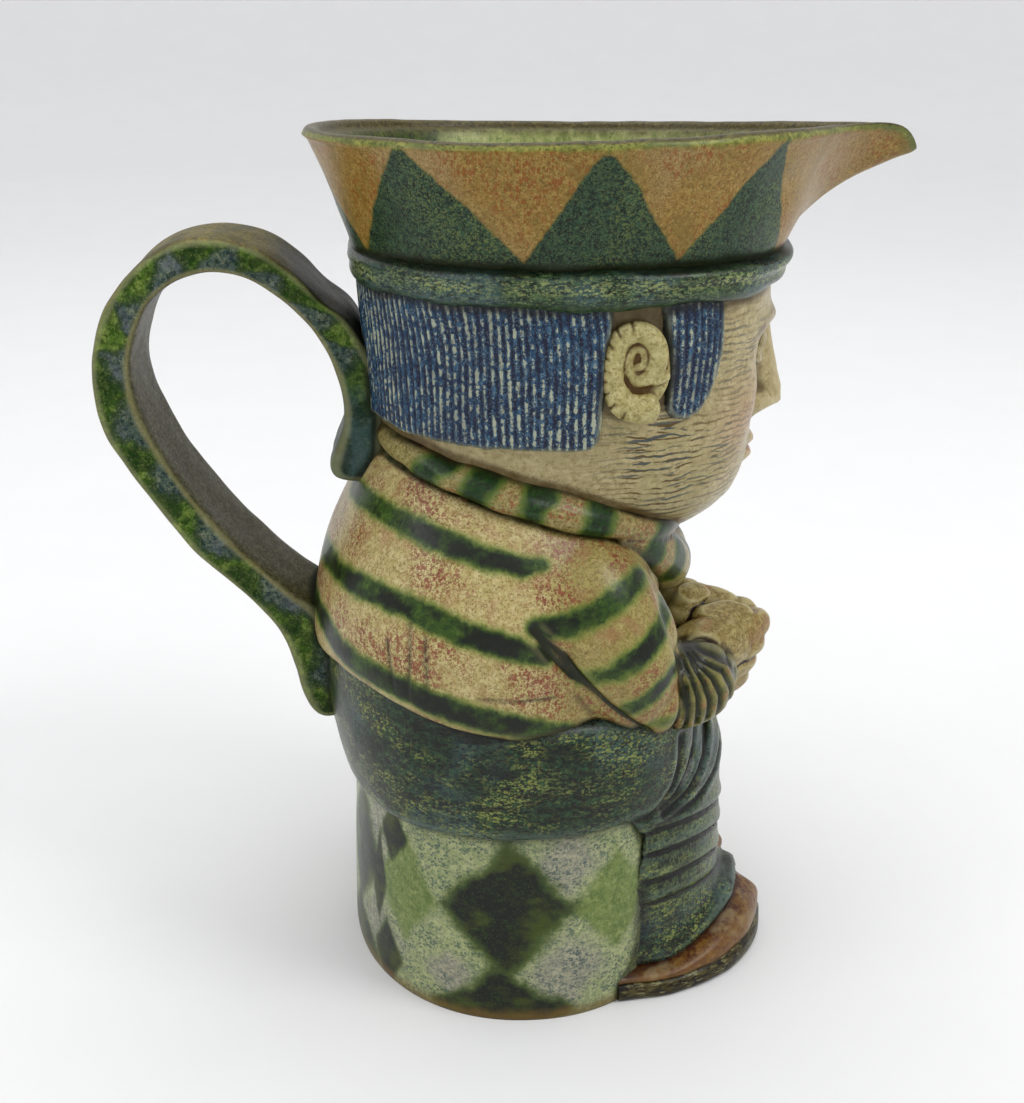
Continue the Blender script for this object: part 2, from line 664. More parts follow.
def head(material):
    """The plain head with its face, and where the brows, lips, lashes, irises and brush strokes go."""
    rows, columns = smooth_run(HEAD[1:], 0.9), 620
    grid = outlines(rows, HEAD_POWER, columns)
    front = step_up(grid[..., 0], 30, 58)
    grid[..., 0] += front * face_relief(grid[..., 1], grid[..., 2])
    grid = pushed(grid, 0.18 * wobble(grid, 14, 21) + 0.08 * wobble(grid, 4, 22))
    inner = outlines(rows[::4], HEAD_POWER, columns, SKIN)
    item = piece("head", ring(np.concatenate([keep_out(grid), keep_out(inner[::-1])])), material)
    x, side, z = grid[..., 0], np.abs(grid[..., 1]), grid[..., 2]
    off_eye = side - EYE_OUT
    marks = {
        "brow": bump(z, 210.4 - 0.012 * (side - 14) ** 2, 2.0) * step_up(16 - np.abs(off_eye), 0, 4),
        "lips": bump(z, 166.3, 3.6) * step_up(13 - side, 0, 3),
        "lash": bump(z, 202.6 - 0.03 * off_eye**2, 0.75) * step_up(8.6 - np.abs(off_eye), 0, 1.5),
        "iris": step_up(3.1 - np.hypot(off_eye, z - 199.4), 0, 0.7),
        "cheek": bump(side, 30, 11) * bump(z, 182, 11),
    }
    for name, values in marks.items():
        paint_part(item, name, step_up(x, 45, 60) * values)
    jaw = step_up(x, 24, 36) * (1 - step_up(z, 178, 196)) * step_up(side, 14, 26)
    temple = bump(z, 205, 14) * step_up(x, 50, 58) * step_up(side, 22, 34)
    under_ear = bump(x, 34, 16) * bump(z, 176, 20) * step_up(side, 30, 42)
    paint_part(item, "brushed", np.clip(0.7 * jaw + 0.8 * temple + 0.9 * under_ear, 0, 1.4))
    return item


# The edges of the hair behind the ear and before it, as the side view shows them.
HAIR_BACK = (
    (-80, 230), (-80, 181.5), (-46, 181.2), (-30, 180), (-10, 179), (12, 178.8), (17.6, 179.6), (20, 182),
    (20.6, 190), (21.8, 205), (23.5, 230),
)
SIDEBURN = (
    (38.5, 190), (40.5, 187.2), (44, 186.6), (48, 188.2), (51.2, 192.6), (53, 199), (54.3, 208), (54.6, 230),
    (35.5, 230), (37.5, 205),
)


def hair(material):
    """Short hair as a raised pad, combed into broken upright strands."""
    rows = smooth_run([row for row in HEAD if row[0] > 170], 0.8)
    rows = rows[(rows[:, 0] > 174.5) & (rows[:, 0] < 224)]
    base = outlines(rows, HEAD_POWER, 760)
    places = side_view(base)
    ragged = 0.35 * wobble(base, 5, 31)
    back = polygon_inside(places, HAIR_BACK) + ragged
    burn = polygon_inside(places, SIDEBURN) + ragged
    deep = np.maximum(back, burn)
    high = np.where(back > burn, HAIR_DEPTH, HAIR_DEPTH * 0.62)
    rise = np.sqrt(np.clip(1 - (1 - np.clip(deep / 2.0, 0, 1)) ** 2, 0, 1))
    edge = np.where(deep > 0, rise * high, -1.6)
    middle = base[len(rows) // 2]
    step = np.linalg.norm(np.diff(middle, axis=0, append=middle[:1]), axis=1)
    along = np.cumsum(step)[None, :] + 0.07 * (base[..., 2] - 200) + 0.55 * wobble(base * [1, 1, 0.35], 9, 32)
    strand = np.sin(2 * math.pi * along / STRAND)
    broken = wobble(base * [1, 1, 0.42], 1.9, 33)
    comb = np.clip(0.7 * strand + 0.3 * broken, -1, 1)
    lift = np.where(deep > 0.4, 0.38 * comb + 0.5 * wobble(base, 22, 34), 0)
    grid = pushed(base, edge + lift)
    item = piece("hair", shell(grid, rows, HEAD_POWER, 3.2), material)
    paint_part(item, "comb", comb)
    paint_part(item, "deep", np.clip(deep, -2, 8))
    return item


# The ear's coil, from its lobe to the middle of the spiral: (x, z, radius).
EAR_COIL = (
    (33.2, 191.6, 4.0), (29.5, 191.4, 4.1), (25.6, 193.2, 3.8), (23.0, 198.4, 3.35), (22.6, 205.2, 3.2),
    (24.9, 210.9, 3.1), (29.8, 213.0, 3.0), (34.3, 210.3, 2.9), (35.4, 205.2, 2.7), (33.2, 200.6, 2.2),
    (29.4, 199.6, 1.6), (27.2, 203.2, 1.35), (28.4, 207.9, 1.3), (31.2, 207.6, 1.2), (31.7, 204.0, 1.1),
    (29.8, 203.0, 1.0),
)
EAR_X, EAR_Z = 30, 202


def ear(side, material):
    """A coil of clay rolled into a spiral on a thin pad, nicked round its outer edge."""
    run = smooth_run([(x, side * (58.0 if width > 2 else 57.4), z, width) for x, z, width in EAR_COIL], 0.5)
    coil = sweep(rounded_ends(run), 40, 0.8, (0, 1, 0))
    tab = [(34.5, side * 57.6, 199.6, 1.7), (37.6, side * 57.4, 200.6, 1.7)]
    lobe = sweep(rounded_ends(tab), 24, 0.9, (0, 1, 0))
    turn = np.linspace(0, 2 * math.pi, 64, endpoint=False)
    rings = []
    for out, share in ((50, 1.0), (55.9, 1.0), (56.9, 0.94), (57.2, 0.6), (57.3, 0.05)):
        ring_x, ring_z = EAR_X + 9.2 * share * np.cos(turn), EAR_Z + 12 * share * np.sin(turn)
        rings.append(np.stack([ring_x, np.full(64, side * out), ring_z], axis=1))
    name = "ear_right" if side < 0 else "ear_left"
    item = fused(name, [capped(coil), capped(lobe), capped(np.array(rings))], 0.42, 2, material)
    points = mesh_points(item)
    x, z = points[:, 0] - EAR_X, points[:, 2] - EAR_Z
    rim = step_up(np.hypot(x / 9.5, z / 12.5), 0.9, 1.0) * (x < -1)
    nicks = bump(np.sin(np.arctan2(z, x) * 19), 1, 0.2) * rim
    push(item, -0.3 * nicks + 0.1 * wobble(points, 3, 41))
    paint(item, "nick", nicks)
    return item


def mirrored(points):
    """Places on the right side turned into those on the left."""
    return [(x, -y, *rest) for x, y, *rest in points]


def both_sides(points):
    """A mark on the right side and its mirror image on the left."""
    return [list(points), mirrored(points)]


def least_distance(points, lines):
    """Distance from each point to the nearest of some lines."""
    best = np.full(len(points), 1e9)
    for line in lines:
        best = np.minimum(best, line_distance(points, line))
    return best


# The painted patches of the collar, near the middle of each, on the right side and mirrored.
PATCHES = (
    ((-29, -42, 168, 2.7), (-22, -48, 176, 2.4)), ((-15, -51, 165, 2.9), (-9, -52, 174, 2.6)),
    ((1, -54, 161, 2.6), (6, -52.5, 169, 2.8)), ((19, -53, 154, 2.7), (23, -50, 163, 2.6)),
    ((38, -43, 141, 2.5), (42, -38, 149, 2.7)), ((47, -30.5, 132.5, 3.2), (51, -27, 140, 3.4)),
    ((50.5, -12, 126, 4.2), (55.5, -10, 134, 3.4)),
)


def collar(material):
    """The standing collar and the roll that hangs before it."""
    rows = smooth_run(COLLAR, 1.2)
    grid = outlines(rows, BODY_POWER, 420)
    grid = pushed(grid, 0.4 * wobble(grid, 12, 51))
    skin = shell(grid, rows, BODY_POWER, 3.4)
    roll = sweep(smooth_run([*COLLAR_ROLL, *mirrored(COLLAR_ROLL[:-1])[::-1]], 1.2), 40)
    item = fused("collar", [skin, capped(roll)], 0.8, 4, material)
    points = mesh_points(item)
    push(item, 0.25 * wobble(points, 7, 52) + 0.3 * wobble(points, 16, 53))
    lines = [line for patch in PATCHES for line in both_sides(patch)]
    paint(item, "patch", least_distance(points, lines) + 0.3 * wobble(points, 4, 54))
    return item


# Each stripe of the jumper is a run of (x, y, z, half width) on the right side.
BODY_STRIPES = (
    ((-59, 0, 158, 2.4), (-46.6, -30.7, 157.4, 2.4), (-34.5, -49.2, 156, 2.5), (-22.3, -58.3, 152.6, 2.6),
     (-11.7, -62.3, 149.7, 2.6), (-2.2, -63.2, 147.4, 2.3), (3.3, -61.9, 147.4, 1.2)),
    ((-66, 0, 136, 2.6), (-60.1, -17.8, 136.1, 2.6), (-50.5, -45.7, 136.8, 2.7), (-38.5, -60, 136.6, 2.8),
     (-27.2, -67.8, 133.7, 2.9), (-16.1, -71.3, 129.5, 2.9), (-4.9, -72.2, 125.9, 2.7),
     (4.2, -71.3, 122.8, 2.0)),
    ((-66, 0, 120, 2.8), (-60.5, -33.3, 120.1, 2.8), (-54.4, -48.2, 115.9, 3.0), (-46.1, -59.1, 113.5, 3.1),
     (-35.3, -67.2, 111.3, 3.2), (-24.6, -71.2, 107.6, 3.2), (-12.4, -72.5, 103.8, 3.1),
     (-0.8, -71, 100.5, 2.8), (9.3, -67.2, 98, 2.0)),
    ((46, 0, 118, 2.6), (44, -20, 119, 2.6), (38, -34, 121, 2.4)),
    ((46, 0, 102, 2.6), (44, -22, 102, 2.6)),
)
SLEEVE_STRIPES = (
    ((1.9, -70.2, 131.6, 2.4), (10.6, -67.6, 130.9, 2.6), (19.6, -68.1, 135.2, 2.7), (27.6, -64.5, 140, 2.6),
     (34.1, -55.9, 143.3, 2.2)),
    ((15.4, -67.8, 115.4, 2.0), (24.2, -70.8, 118.1, 2.5), (32.8, -69.4, 123.8, 2.6), (39.8, -62, 128.9, 2.4),
     (42, -50, 131, 1.8)),
    ((28.7, -67.5, 104.4, 2.0), (36.4, -67.9, 108.9, 2.5), (42.3, -64.4, 113.8, 2.2), (45, -56, 116, 1.8)),
    ((37.4, -62.1, 95.4, 1.4), (42, -61, 95.7, 1.7), (46, -58, 97, 1.2)),
)
# Creases where an arm meets the body and down the front of the sleeve, as the side view shows them.
CREASES = (
    ((0.5, 131.3, 0.1), (4.5, 126.4, 0.8), (8.4, 121.6, 1.1), (13.2, 115.5, 0.3), (23, 105, 0),
     (30.9, 97.6, 0), (36, 92.5, 0)),
    ((37, 143, 0.1), (40.2, 132, 0.2), (44.4, 118, 0.2), (46.6, 108, 0.2), (46.4, 98, 0.2), (44, 90, 0.1)),
)
# Fine cuts scored into the right side of the body.
CUTS = (
    ((-41, -62, 125.4, 0), (-40.2, -64.2, 115.4, 0), (-39.3, -65, 105, 0), (-39, -64.8, 100, 0)),
    ((-33.8, -65.1, 131.2, 0), (-34.6, -67.3, 119.8, 0), (-35.7, -67, 107.2, 0), (-36, -67, 101, 0)),
    ((-29.9, -68.4, 127.9, 0), (-29.6, -70, 113.1, 0)),
    ((-15.2, -73.1, 110.8, 0), (-3.2, -72.8, 109.7, 0), (7.5, -70.5, 109.6, 0)),
)
# Folds that fan out over the forearm from the sleeve's front edge, as the side view shows them.
CUFF_FOLDS = (
    ((50, 113.5, 0.1), (57.5, 110, 0.1), (63.6, 106, 0.1), (66.6, 100, 0.1), (66.6, 93, 0.1)),
    ((47, 115, 0.1), (54.5, 109.6, 0.1), (60.4, 105.7, 0.1), (63.6, 98.9, 0.1), (63.4, 92, 0.1)),
    ((46, 115, 0.1), (52, 110, 0.1), (56.4, 105.4, 0.1), (59.2, 99.5, 0.1), (59.2, 91.5, 0.1)),
    ((46, 116, 0.1), (49.4, 111.6, 0.1), (53.3, 105, 0.1), (55.4, 99, 0.1), (55.4, 90.5, 0.1)),
    ((46.5, 113, 0.1), (49.4, 107, 0.1), (51.4, 101, 0.1), (51.8, 90.1, 0.1)),
    ((47.6, 105, 0.1), (48.4, 98, 0.1), (48, 89, 0.1)),
)


def limb(run, side, drop=0.0):
    """One part of an arm, on the right side or mirrored and lowered a little."""
    points = smooth_run([(x, side * -y, z - drop, radius) for x, y, z, radius in run], 1.2)
    return capped(sweep(rounded_ends(points), 64))


def hem_rise(points):
    """How far the jumper's hem stands above its lowest, along X."""
    return np.interp(points[..., 0], *np.array(HEM_RISE, float).T)


def raised_hem(grid):
    """The jumper's lower edge lifted along its wavy hem."""
    grid = grid.copy()
    grid[..., 2] += hem_rise(grid) * (1 - step_up(grid[..., 2], 96, 122))
    return grid


def raised_seat(grid):
    """The upper edge of the seat lifted along with the hem."""
    grid = grid.copy()
    grid[..., 2] += hem_rise(grid) * step_up(grid[..., 2], 86, 98)
    return grid


def jumper_skin(material):
    """Body and both sleeves in one skin, softened over the shoulders and under the arms."""
    rows = smooth_run(TORSO, 1.5)
    grid = outlines(rows, BODY_POWER, 400)
    skin = shell(raised_hem(grid), rows, BODY_POWER, 3.2, raised_hem)
    arms = []
    for side, drop in ((-1, 0.0), (1, 4.0)):
        arms += [limb(UPPER_ARM, side), limb(FOREARM, side, drop)]
    item = fused("jumper", [skin, *arms], 0.95, 3, material)
    x, y, z = mesh_points(item).T
    relaxed(item, 14, step_up(z, 118, 134) * (np.abs(y) > 20))
    x, y, z = mesh_points(item).T
    relaxed(item, 14, bump(z, 104, 12) * bump(x, 20, 16) * step_up(np.abs(y), 48, 56))
    return item


def jumper(material):
    """The jumper with the creases and the folds of the cuffs pressed in, and the stripes painted on."""
    item = jumper_skin(material)
    points = mesh_points(item)
    x, out, z = points[:, 0], np.abs(points[:, 1]), points[:, 2]
    lift = 0.45 * wobble(points, 26, 61) + 0.15 * wobble(points, 9, 62)
    outer = step_up(out, 44, 52)
    lift -= 1.5 * outer * bump(least_distance(side_view(points), CREASES), 0, 1.2)
    wrist = [(x, -y, z, 10) for x, y, z, _ in FOREARM[1:]]
    reach = least_distance(points, both_sides(wrist))
    on_cuff = step_up(8 - reach, 0, 4) * step_up(x, 45.6, 48) * step_up(out, 10, 16)
    flat = side_view(points) + np.stack([0 * lift, 4.0 * (points[:, 1] > 0)], axis=1)
    away = least_distance(flat, CUFF_FOLDS)
    crease = bump(away, 0, 0.6) * on_cuff
    lift += -1.0 * crease + 0.5 * bump(away, 1.6, 0.8) * on_cuff
    scored = bump(least_distance(points, CUTS), 0, 0.7) * step_up(wobble(points, 7, 65), -1.4, -0.6)
    lift -= 0.45 * scored
    push(item, lift)
    stripes = [line for stripe in BODY_STRIPES + SLEEVE_STRIPES for line in both_sides(stripe)]
    paint(item, "stripe", least_distance(points, stripes) + 0.25 * wobble(points, 5, 64))
    armpit = bump(least_distance(side_view(points), CREASES[:1]), 0, 1.0) * outer
    dark = armpit * (0.35 + 0.55 * step_up(z, 106, 116))
    paint(item, "fold", np.maximum.reduce([crease, dark, 0.7 * scored]))
    paint(item, "cuff", on_cuff)
    paint(item, "between", bump(away, 1.7, 0.7) * on_cuff)
    paint(item, "sleeve", step_up(x, 2, 12) * step_up(out, 36, 44))
    return item


# The right hand: its palm, the ball of the thumb, the thumb, the lower edge, and the uppermost finger.
PALM = (
    ((55, -24, 102.5, 9.6), (62.5, -15.5, 102.5, 10.2), (69.5, -9, 102.5, 9.2), (74.5, -7, 103, 7.6)),
    ((60, -13, 108, 6.5), (66, -10, 108.5, 6.2), (73, -8, 107.5, 5.4)),
    ((54, -8, 110, 5.4), (56, -6, 115, 4.8), (59.5, -4, 116.4, 3.9)),
    ((62, -14, 95, 7), (68, -11, 93.8, 6.6), (72, -9, 95, 5.4)),
)
FINGER = (
    (70, -14, 105, 3.6), (75.2, -12, 105.6, 4.1), (79, -7.5, 106, 4.0), (79.4, -2.5, 105.2, 3.8),
    (78.2, 2, 104, 3.5),
)
# Directions in which the hands are cut flat, as if pared with a knife.
PARED = ((0.2, -0.25, 0.95), (0.1, -0.97, 0.2), (0.72, -0.65, 0.25), (0.6, -0.7, -0.38))


def pared(points):
    """Each hand cut back by planes, so that it looks blocky."""
    side = np.where(points[:, 1:2] > 0, -1, 1) * [0, 1, 0] + [1, 0, 1]
    points = points * side
    for direction in PARED:
        reach = points @ direction
        over = np.clip(reach - np.quantile(reach, 0.95), 0, None)
        points = points - 0.7 * over[:, None] * direction
    return points * side


def hands(material):
    """Two clasped hands: blocky palms, thumbs and knuckled fingers."""
    shapes = []
    for side, forward, up in ((-1, 0, -0.8), (1, -2.5, -2.6)):
        parts = [*PALM]
        for number in range(4):
            parts.append([(x - 2.3 * number, y, z - 6.2 * number, radius) for x, y, z, radius in FINGER])
        for part in parts:
            run = [(x + forward, -side * y, z + up, radius) for x, y, z, radius in part]
            shapes.append(capped(sweep(rounded_ends(smooth_run(run, 1.0)), 24)))
    item = fused("hands", shapes, 0.55, 2, material)
    points = mesh_points(item)
    facets = 0.6 * np.abs(wobble(points, 9, 71)) + 0.15 * wobble(points, 4, 72)
    push(item, facets)
    set_points(item, pared(mesh_points(item)))
    return item


# Folds over the lap and the hip, as the side view shows them.
FOLDS = (
    ((62, 88, 0.2), (61.5, 80, 0.2), (58, 72, 0.2), (51, 65.5, 0.2), (42, 61, 0.2)),
    ((47.6, 85, 0.2), (47.2, 77.5, 0.2), (45.2, 71, 0.2), (41, 66.5, 0.2), (36, 62.5, 0.2)),
    ((54.5, 87, 0.2), (53.8, 79, 0.2), (51, 72, 0.2), (46.5, 67, 0.2), (41, 63.5, 0.2)),
    ((69, 78, 0.2), (67.5, 70, 0.2), (62, 64, 0.2), (54, 60, 0.2), (40, 57.5, 0.2)),
)
# Grooves round the shins: (height, share of the depth).
SHIN_RINGS = ((55, 1.0), (46.7, 1.0), (37.4, 0.9), (29.2, 0.6))


def foot_back(points):
    """The left foot is set back a little, as the whole leg is from the knee down."""
    points = points.copy()
    share = np.clip(points[..., 1] / 12, 0, 1) * np.clip((66 - points[..., 2]) / 36, 0, 1)
    points[..., 0] -= FOOT_BACK * share * (points[..., 0] > 30)
    return points


def leg_shape(grid):
    """The legs cut off behind by the ledge along the drum, with the trouser hems rising over the shoes."""
    grid = grid.copy()
    ledge = np.interp(grid[..., 2], (0, 8, 55, 62), (29, 29, 37, 30))
    grid[..., 2] += 8.5 * step_up(grid[..., 0], 43, 73) * (1 - step_up(grid[..., 2], 8, 26))
    grid[..., 0] = np.maximum(grid[..., 0], ledge)
    return keep_out(foot_back(grid))


def trouser_skin(material):
    """The broad seat and the two legs in one skin."""
    rows = smooth_run(SEAT, 1.4)
    seat = shell(raised_seat(outlines(rows, BODY_POWER, 400)), rows, BODY_POWER, 3.0, raised_seat)
    rows = smooth_run(LEGS, 1.5)
    legs = shell(leg_shape(outlines(rows, LEG_POWER, 340)), rows, LEG_POWER, 3.0, leg_shape)
    return fused("trousers", [seat, legs], 0.95, 3, material)


def trousers(material):
    """Folds pressed across the lap, the knees and the shins, and a slit between the legs."""
    item = trouser_skin(material)
    points = mesh_points(item)
    side = np.abs(points[:, 1])
    lift = 0.4 * wobble(points, 24, 81) + 0.15 * wobble(points, 8, 82)
    front = step_up(points[:, 0], 32, 40)
    groove, crease, shin = np.zeros((3, len(points)))
    for line in FOLDS:
        away = line_distance(side_view(points), line)
        groove += bump(away, 0, 0.8) - 0.35 * bump(away, 2.2, 1.2)
        crease = np.maximum(crease, bump(away, 0, 1.0))
    height = points[:, 2] + 0.0052 * (55 - side) ** 2 + 0.8 * wobble(points, 18, 83)
    for line, deep in SHIN_RINGS:
        off = height - line
        shin += deep * (0.7 * bump(off, 2.6, 2.4) - 1.2 * bump(off, 0, 0.7))
        crease = np.maximum(crease, bump(off, 0, 0.9) * (points[:, 2] < 60))
    on_leg = front * (points[:, 2] < 60) * step_up(points[:, 2], 18, 26)
    lift += -1.15 * groove * front * step_up(points[:, 2], 54, 60) + 1.1 * shin * on_leg
    push(item, lift)
    points = mesh_points(item)
    reach = 5.0 + 0.04 * np.clip(66 - points[:, 2], 0, 60)
    gap = np.clip(1 - side / reach, 0, 1) * (points[:, 0] > 48) * (points[:, 2] < 68)
    points[:, 0] -= 8.5 * gap**0.7
    set_points(item, points)
    paint(item, "crease", crease * front)
    paint(item, "leg", on_leg)
    return item


def toe_shape(grid):
    """Rounded toes either side of a gap, a blunt heel at the drum, and the left foot set back."""
    grid = grid.copy()
    upper = np.clip((grid[..., 2] - 5.2) / 3.9, 0, 1)
    grid[..., 2] += 8.4 * upper * step_up(grid[..., 0], 43, 74)
    side = np.abs(grid[..., 1])
    notch = TOE_NOTCH * np.clip(1 - side / 17, 0, 1) + 9 * np.clip(1 - side / 5, 0, 1) ** 0.7
    grid[..., 0] -= notch * (grid[..., 0] > 45)
    grid[..., 0] = np.maximum(grid[..., 0], 28.6)
    return foot_back(grid)


def shoe_parts(name, table, step, material, seed):
    """Both shoes, or both soles, in one piece that the notch between the toes parts."""
    rows = smooth_run(table, step)
    grid = toe_shape(outlines(rows, SHOE_POWER, 480))
    grid = pushed(grid, 0.22 * wobble(grid, 8, seed) * (grid[..., 0] > 30))
    grid[..., 2] = np.maximum(grid[..., 2], 0)
    return piece(name, capped(grid), material)


def diamond(places, around, height, wide, high):
    """How far each place lies inside a painted diamond: one at its middle and nought on its edge."""
    return 1 - np.abs(places[..., 0] - around) / wide - np.abs(places[..., 1] - height) / high


# The drum's pattern repeats six times round it. In one repeat: (mm along, height, half width, half height).
DRUM_REPEAT = 66
DRUM_ROUND = 6 * DRUM_REPEAT
DRUM_START = -204
DRUM_DARK = ((33, 38.5, 22, 26), (31, 3, 23, 18))
DRUM_GREEN = ((65.5, 37, 14, 19),)
DRUM_PALE = ((50, 52, 12, 12), (50, 17, 14, 14), (16, 14, 9, 8))
# Dark blots at the back right of the drum, each at one place only.
DRUM_BLOTS = ((59, 53, 8, 11), (51, 34, 6, 20), (56, 9, 9, 16), (337, 52, 8, 11))


def drum(material):
    """The drum with its floor, open above, and the diamonds painted round it."""
    grid = outlines(smooth_run(DRUM, 1.1), DRUM_POWER, DRUM_COLUMNS)
    wavy = 0.3 * wobble(grid, 28, 91) + 0.1 * wobble(grid, 8, 92)
    grid = pushed(grid, wavy * step_up(grid[..., 2], 2, 10))
    bottom = (3, 3, -55.5, 55.5, 70.5)
    parts = (([DRUM[0]] * 2, [20, 1.0]), ([(66, 66, -54, 54, 66.5), bottom], 2.8), ([bottom], 24))
    low, inner, floor = [outlines(rows, DRUM_POWER, DRUM_COLUMNS, inset) for rows, inset in parts]
    item = piece("drum", capped(np.concatenate([low, grid, inner, floor])), material)
    whole = mesh_points(item)
    places = flat_places(whole, 0.0, 63.0)
    places[:, 0] = (places[:, 0] - DRUM_START) % DRUM_ROUND
    ragged = 0.06 * wobble(whole, 9, 93) + 0.02 * wobble(whole, 3, 94)
    turns = range(-DRUM_REPEAT, DRUM_ROUND + DRUM_REPEAT + 1, DRUM_REPEAT)
    for name, patches in (("dark", DRUM_DARK), ("green", DRUM_GREEN), ("pale", DRUM_PALE)):
        marks = [diamond(places, around + turn, *rest) for turn in turns for around, *rest in patches]
        if name == "dark":
            marks += [diamond(places, *patch) for patch in DRUM_BLOTS]
        paint(item, name, np.maximum.reduce(marks) + ragged)
    return item


# Where the green leaves of the strap's edge stand, in millimetres along it from the curl.
STRAP_GREEN = (20, 43.4, 54.7, 73, 87.8, 104.9, 124.4, 138.3, 161.2, 181, 203.6, 229, 259.1, 290)


def handle(material):
    """The strap: a rounded oblong section carried along the loop, with leaves painted on its edges."""
    run = smooth_run(STRAP, 1.0)
    outer, inner = run[:, :2], run[:, 2:]
    middle, across = (outer + inner) / 2, (outer - inner)
    thick = np.linalg.norm(across, axis=1) / 2
    across /= 2 * thick[:, None]
    number, last, full = np.arange(len(run)), len(run) - 1, STRAP_WIDTH / 2
    half = np.interp(number, [0, 6, 14, last - 13, last], [16.5, 18.5, full, full, 17.5])
    turn = even_turns((0, 0, -19, 19, 6), STRAP_POWER, 148)
    flank, depth = [signed_power(value, 2 / STRAP_POWER) for value in (np.cos(turn), np.sin(turn))]
    wide = flank[None, :] * half[:, None]
    deep = depth[None, :] * thick[:, None]
    end = np.minimum(number, number[::-1])
    tip = np.sqrt(np.clip(1 - (1 - np.clip(end / 4.0, 0, 1)) ** 2, 0.02, 1))[:, None]
    grid = np.stack([
        middle[:, :1] + across[:, :1] * deep * tip,
        wide * (0.75 + 0.25 * tip),
        middle[:, 1:] + across[:, 1:] * deep * tip,
    ], axis=2)
    grid = pushed(grid, 0.3 * wobble(grid, 16, 101) + 0.12 * wobble(grid, 6, 102) - 0.1)
    item = piece("handle", capped(grid), material)
    gone = np.concatenate([[0], np.cumsum(np.linalg.norm(np.diff(middle, axis=0), axis=1))])
    wave = np.interp(gone, STRAP_GREEN, np.arange(len(STRAP_GREEN)))
    zigzag = 1 - 2 * np.abs(2 * (wave % 1) - 1)
    boundary = 0.78 * zigzag[:, None] + 0.08 + 0.22 * wobble(grid, 8, 103)
    leaf = (depth[None, :] + boundary) * (np.abs(flank) > 0.9)[None, :]
    paint_part(item, "leaf", leaf)
    paint_part(item, "outer", np.broadcast_to(depth, leaf.shape))
    paint_part(item, "flank", np.broadcast_to(np.abs(flank), leaf.shape))
    paint_part(item, "curl", np.broadcast_to(1 - step_up(gone, 20, 46), leaf.shape[::-1]).T)
    return item


def softened(item, values):
    """Painted values evened out a little between neighbours."""
    edges, count = mesh_edges(item), len(values)
    values = values[:, None]
    for _ in range(2):
        values = 0.4 * values + 0.6 * neighbour_mean(values, edges, count)
    return values[:, 0]


def paint_bend(item):
    """Grooves come out above nought and ridges below, in millimetres of hollow under a smoothed skin."""
    points, edges = mesh_points(item), mesh_edges(item)
    soft = points
    for _ in range(8):
        soft = neighbour_mean(soft, edges, len(points))
    hollow = ((soft - points) * mesh_normals(item)).sum(axis=1)
    paint(item, "bend", softened(item, hollow))


def blurred(cells):
    """The marked cells spread over their neighbours."""
    for _ in range(2):
        for axis in range(3):
            cells = (np.roll(cells, 1, axis) + cells + np.roll(cells, -1, axis)) / 3
    return cells


def seen(item, points):
    """Which points of a piece show. The pot's body and the hair's base lie under other pieces."""
    if item.name == "vessel":
        return points[:, 2] > 230
    if item.name == "hair":
        deep = np.empty(len(points), np.float32)
        item.data.attributes["deep"].data.foreach_get("value", deep)
        return deep > 0.3
    return np.ones(len(points), bool)


def paint_near(items):
    """How close each point is to the skin of another piece, where glaze pools and darkens."""
    cell, low = 1.6, np.array([-134.0, -80, -6])
    shape = np.array([168, 100, 174])
    filled = []
    for item in items:
        points = mesh_points(item)
        points = points[seen(item, points)]
        index = np.clip(((points - low) / cell).astype(int), 0, shape - 1)
        cells = np.zeros(shape, np.float32)
        cells[tuple(index.T)] = 1
        filled.append(blurred(cells))
    total = sum(filled)
    for item, own in zip(items, filled):
        places = (mesh_points(item) - low) / cell - 0.5
        index = np.clip(places.astype(int), 0, shape - 2)
        other = total - own
        share = np.clip(places - index, 0, 1)
        value = np.zeros(len(places))
        for corner in np.ndindex(2, 2, 2):
            weight = np.prod(np.where(corner, share, 1 - share), axis=1)
            value += weight * other[tuple((index + corner).T)]
        paint(item, "near", softened(item, value))


# How much brighter a glaze is than it looks in this light, and the share of white that its gloss adds.
DAYLIGHT = 1.32
SHEEN = 0.018


def tone(red, green, blue):
    """A colour as it looks in soft daylight, from 0 to 255, turned into the share of light it sends back."""
    share = np.array([red, green, blue]) / 255
    linear = np.where(share > 0.04, ((share + 0.055) / 1.055) ** 2.4, share / 12.92)
    return (*np.clip((linear - SHEEN) * DAYLIGHT, 0.002, 0.9).tolist(), 1.0)


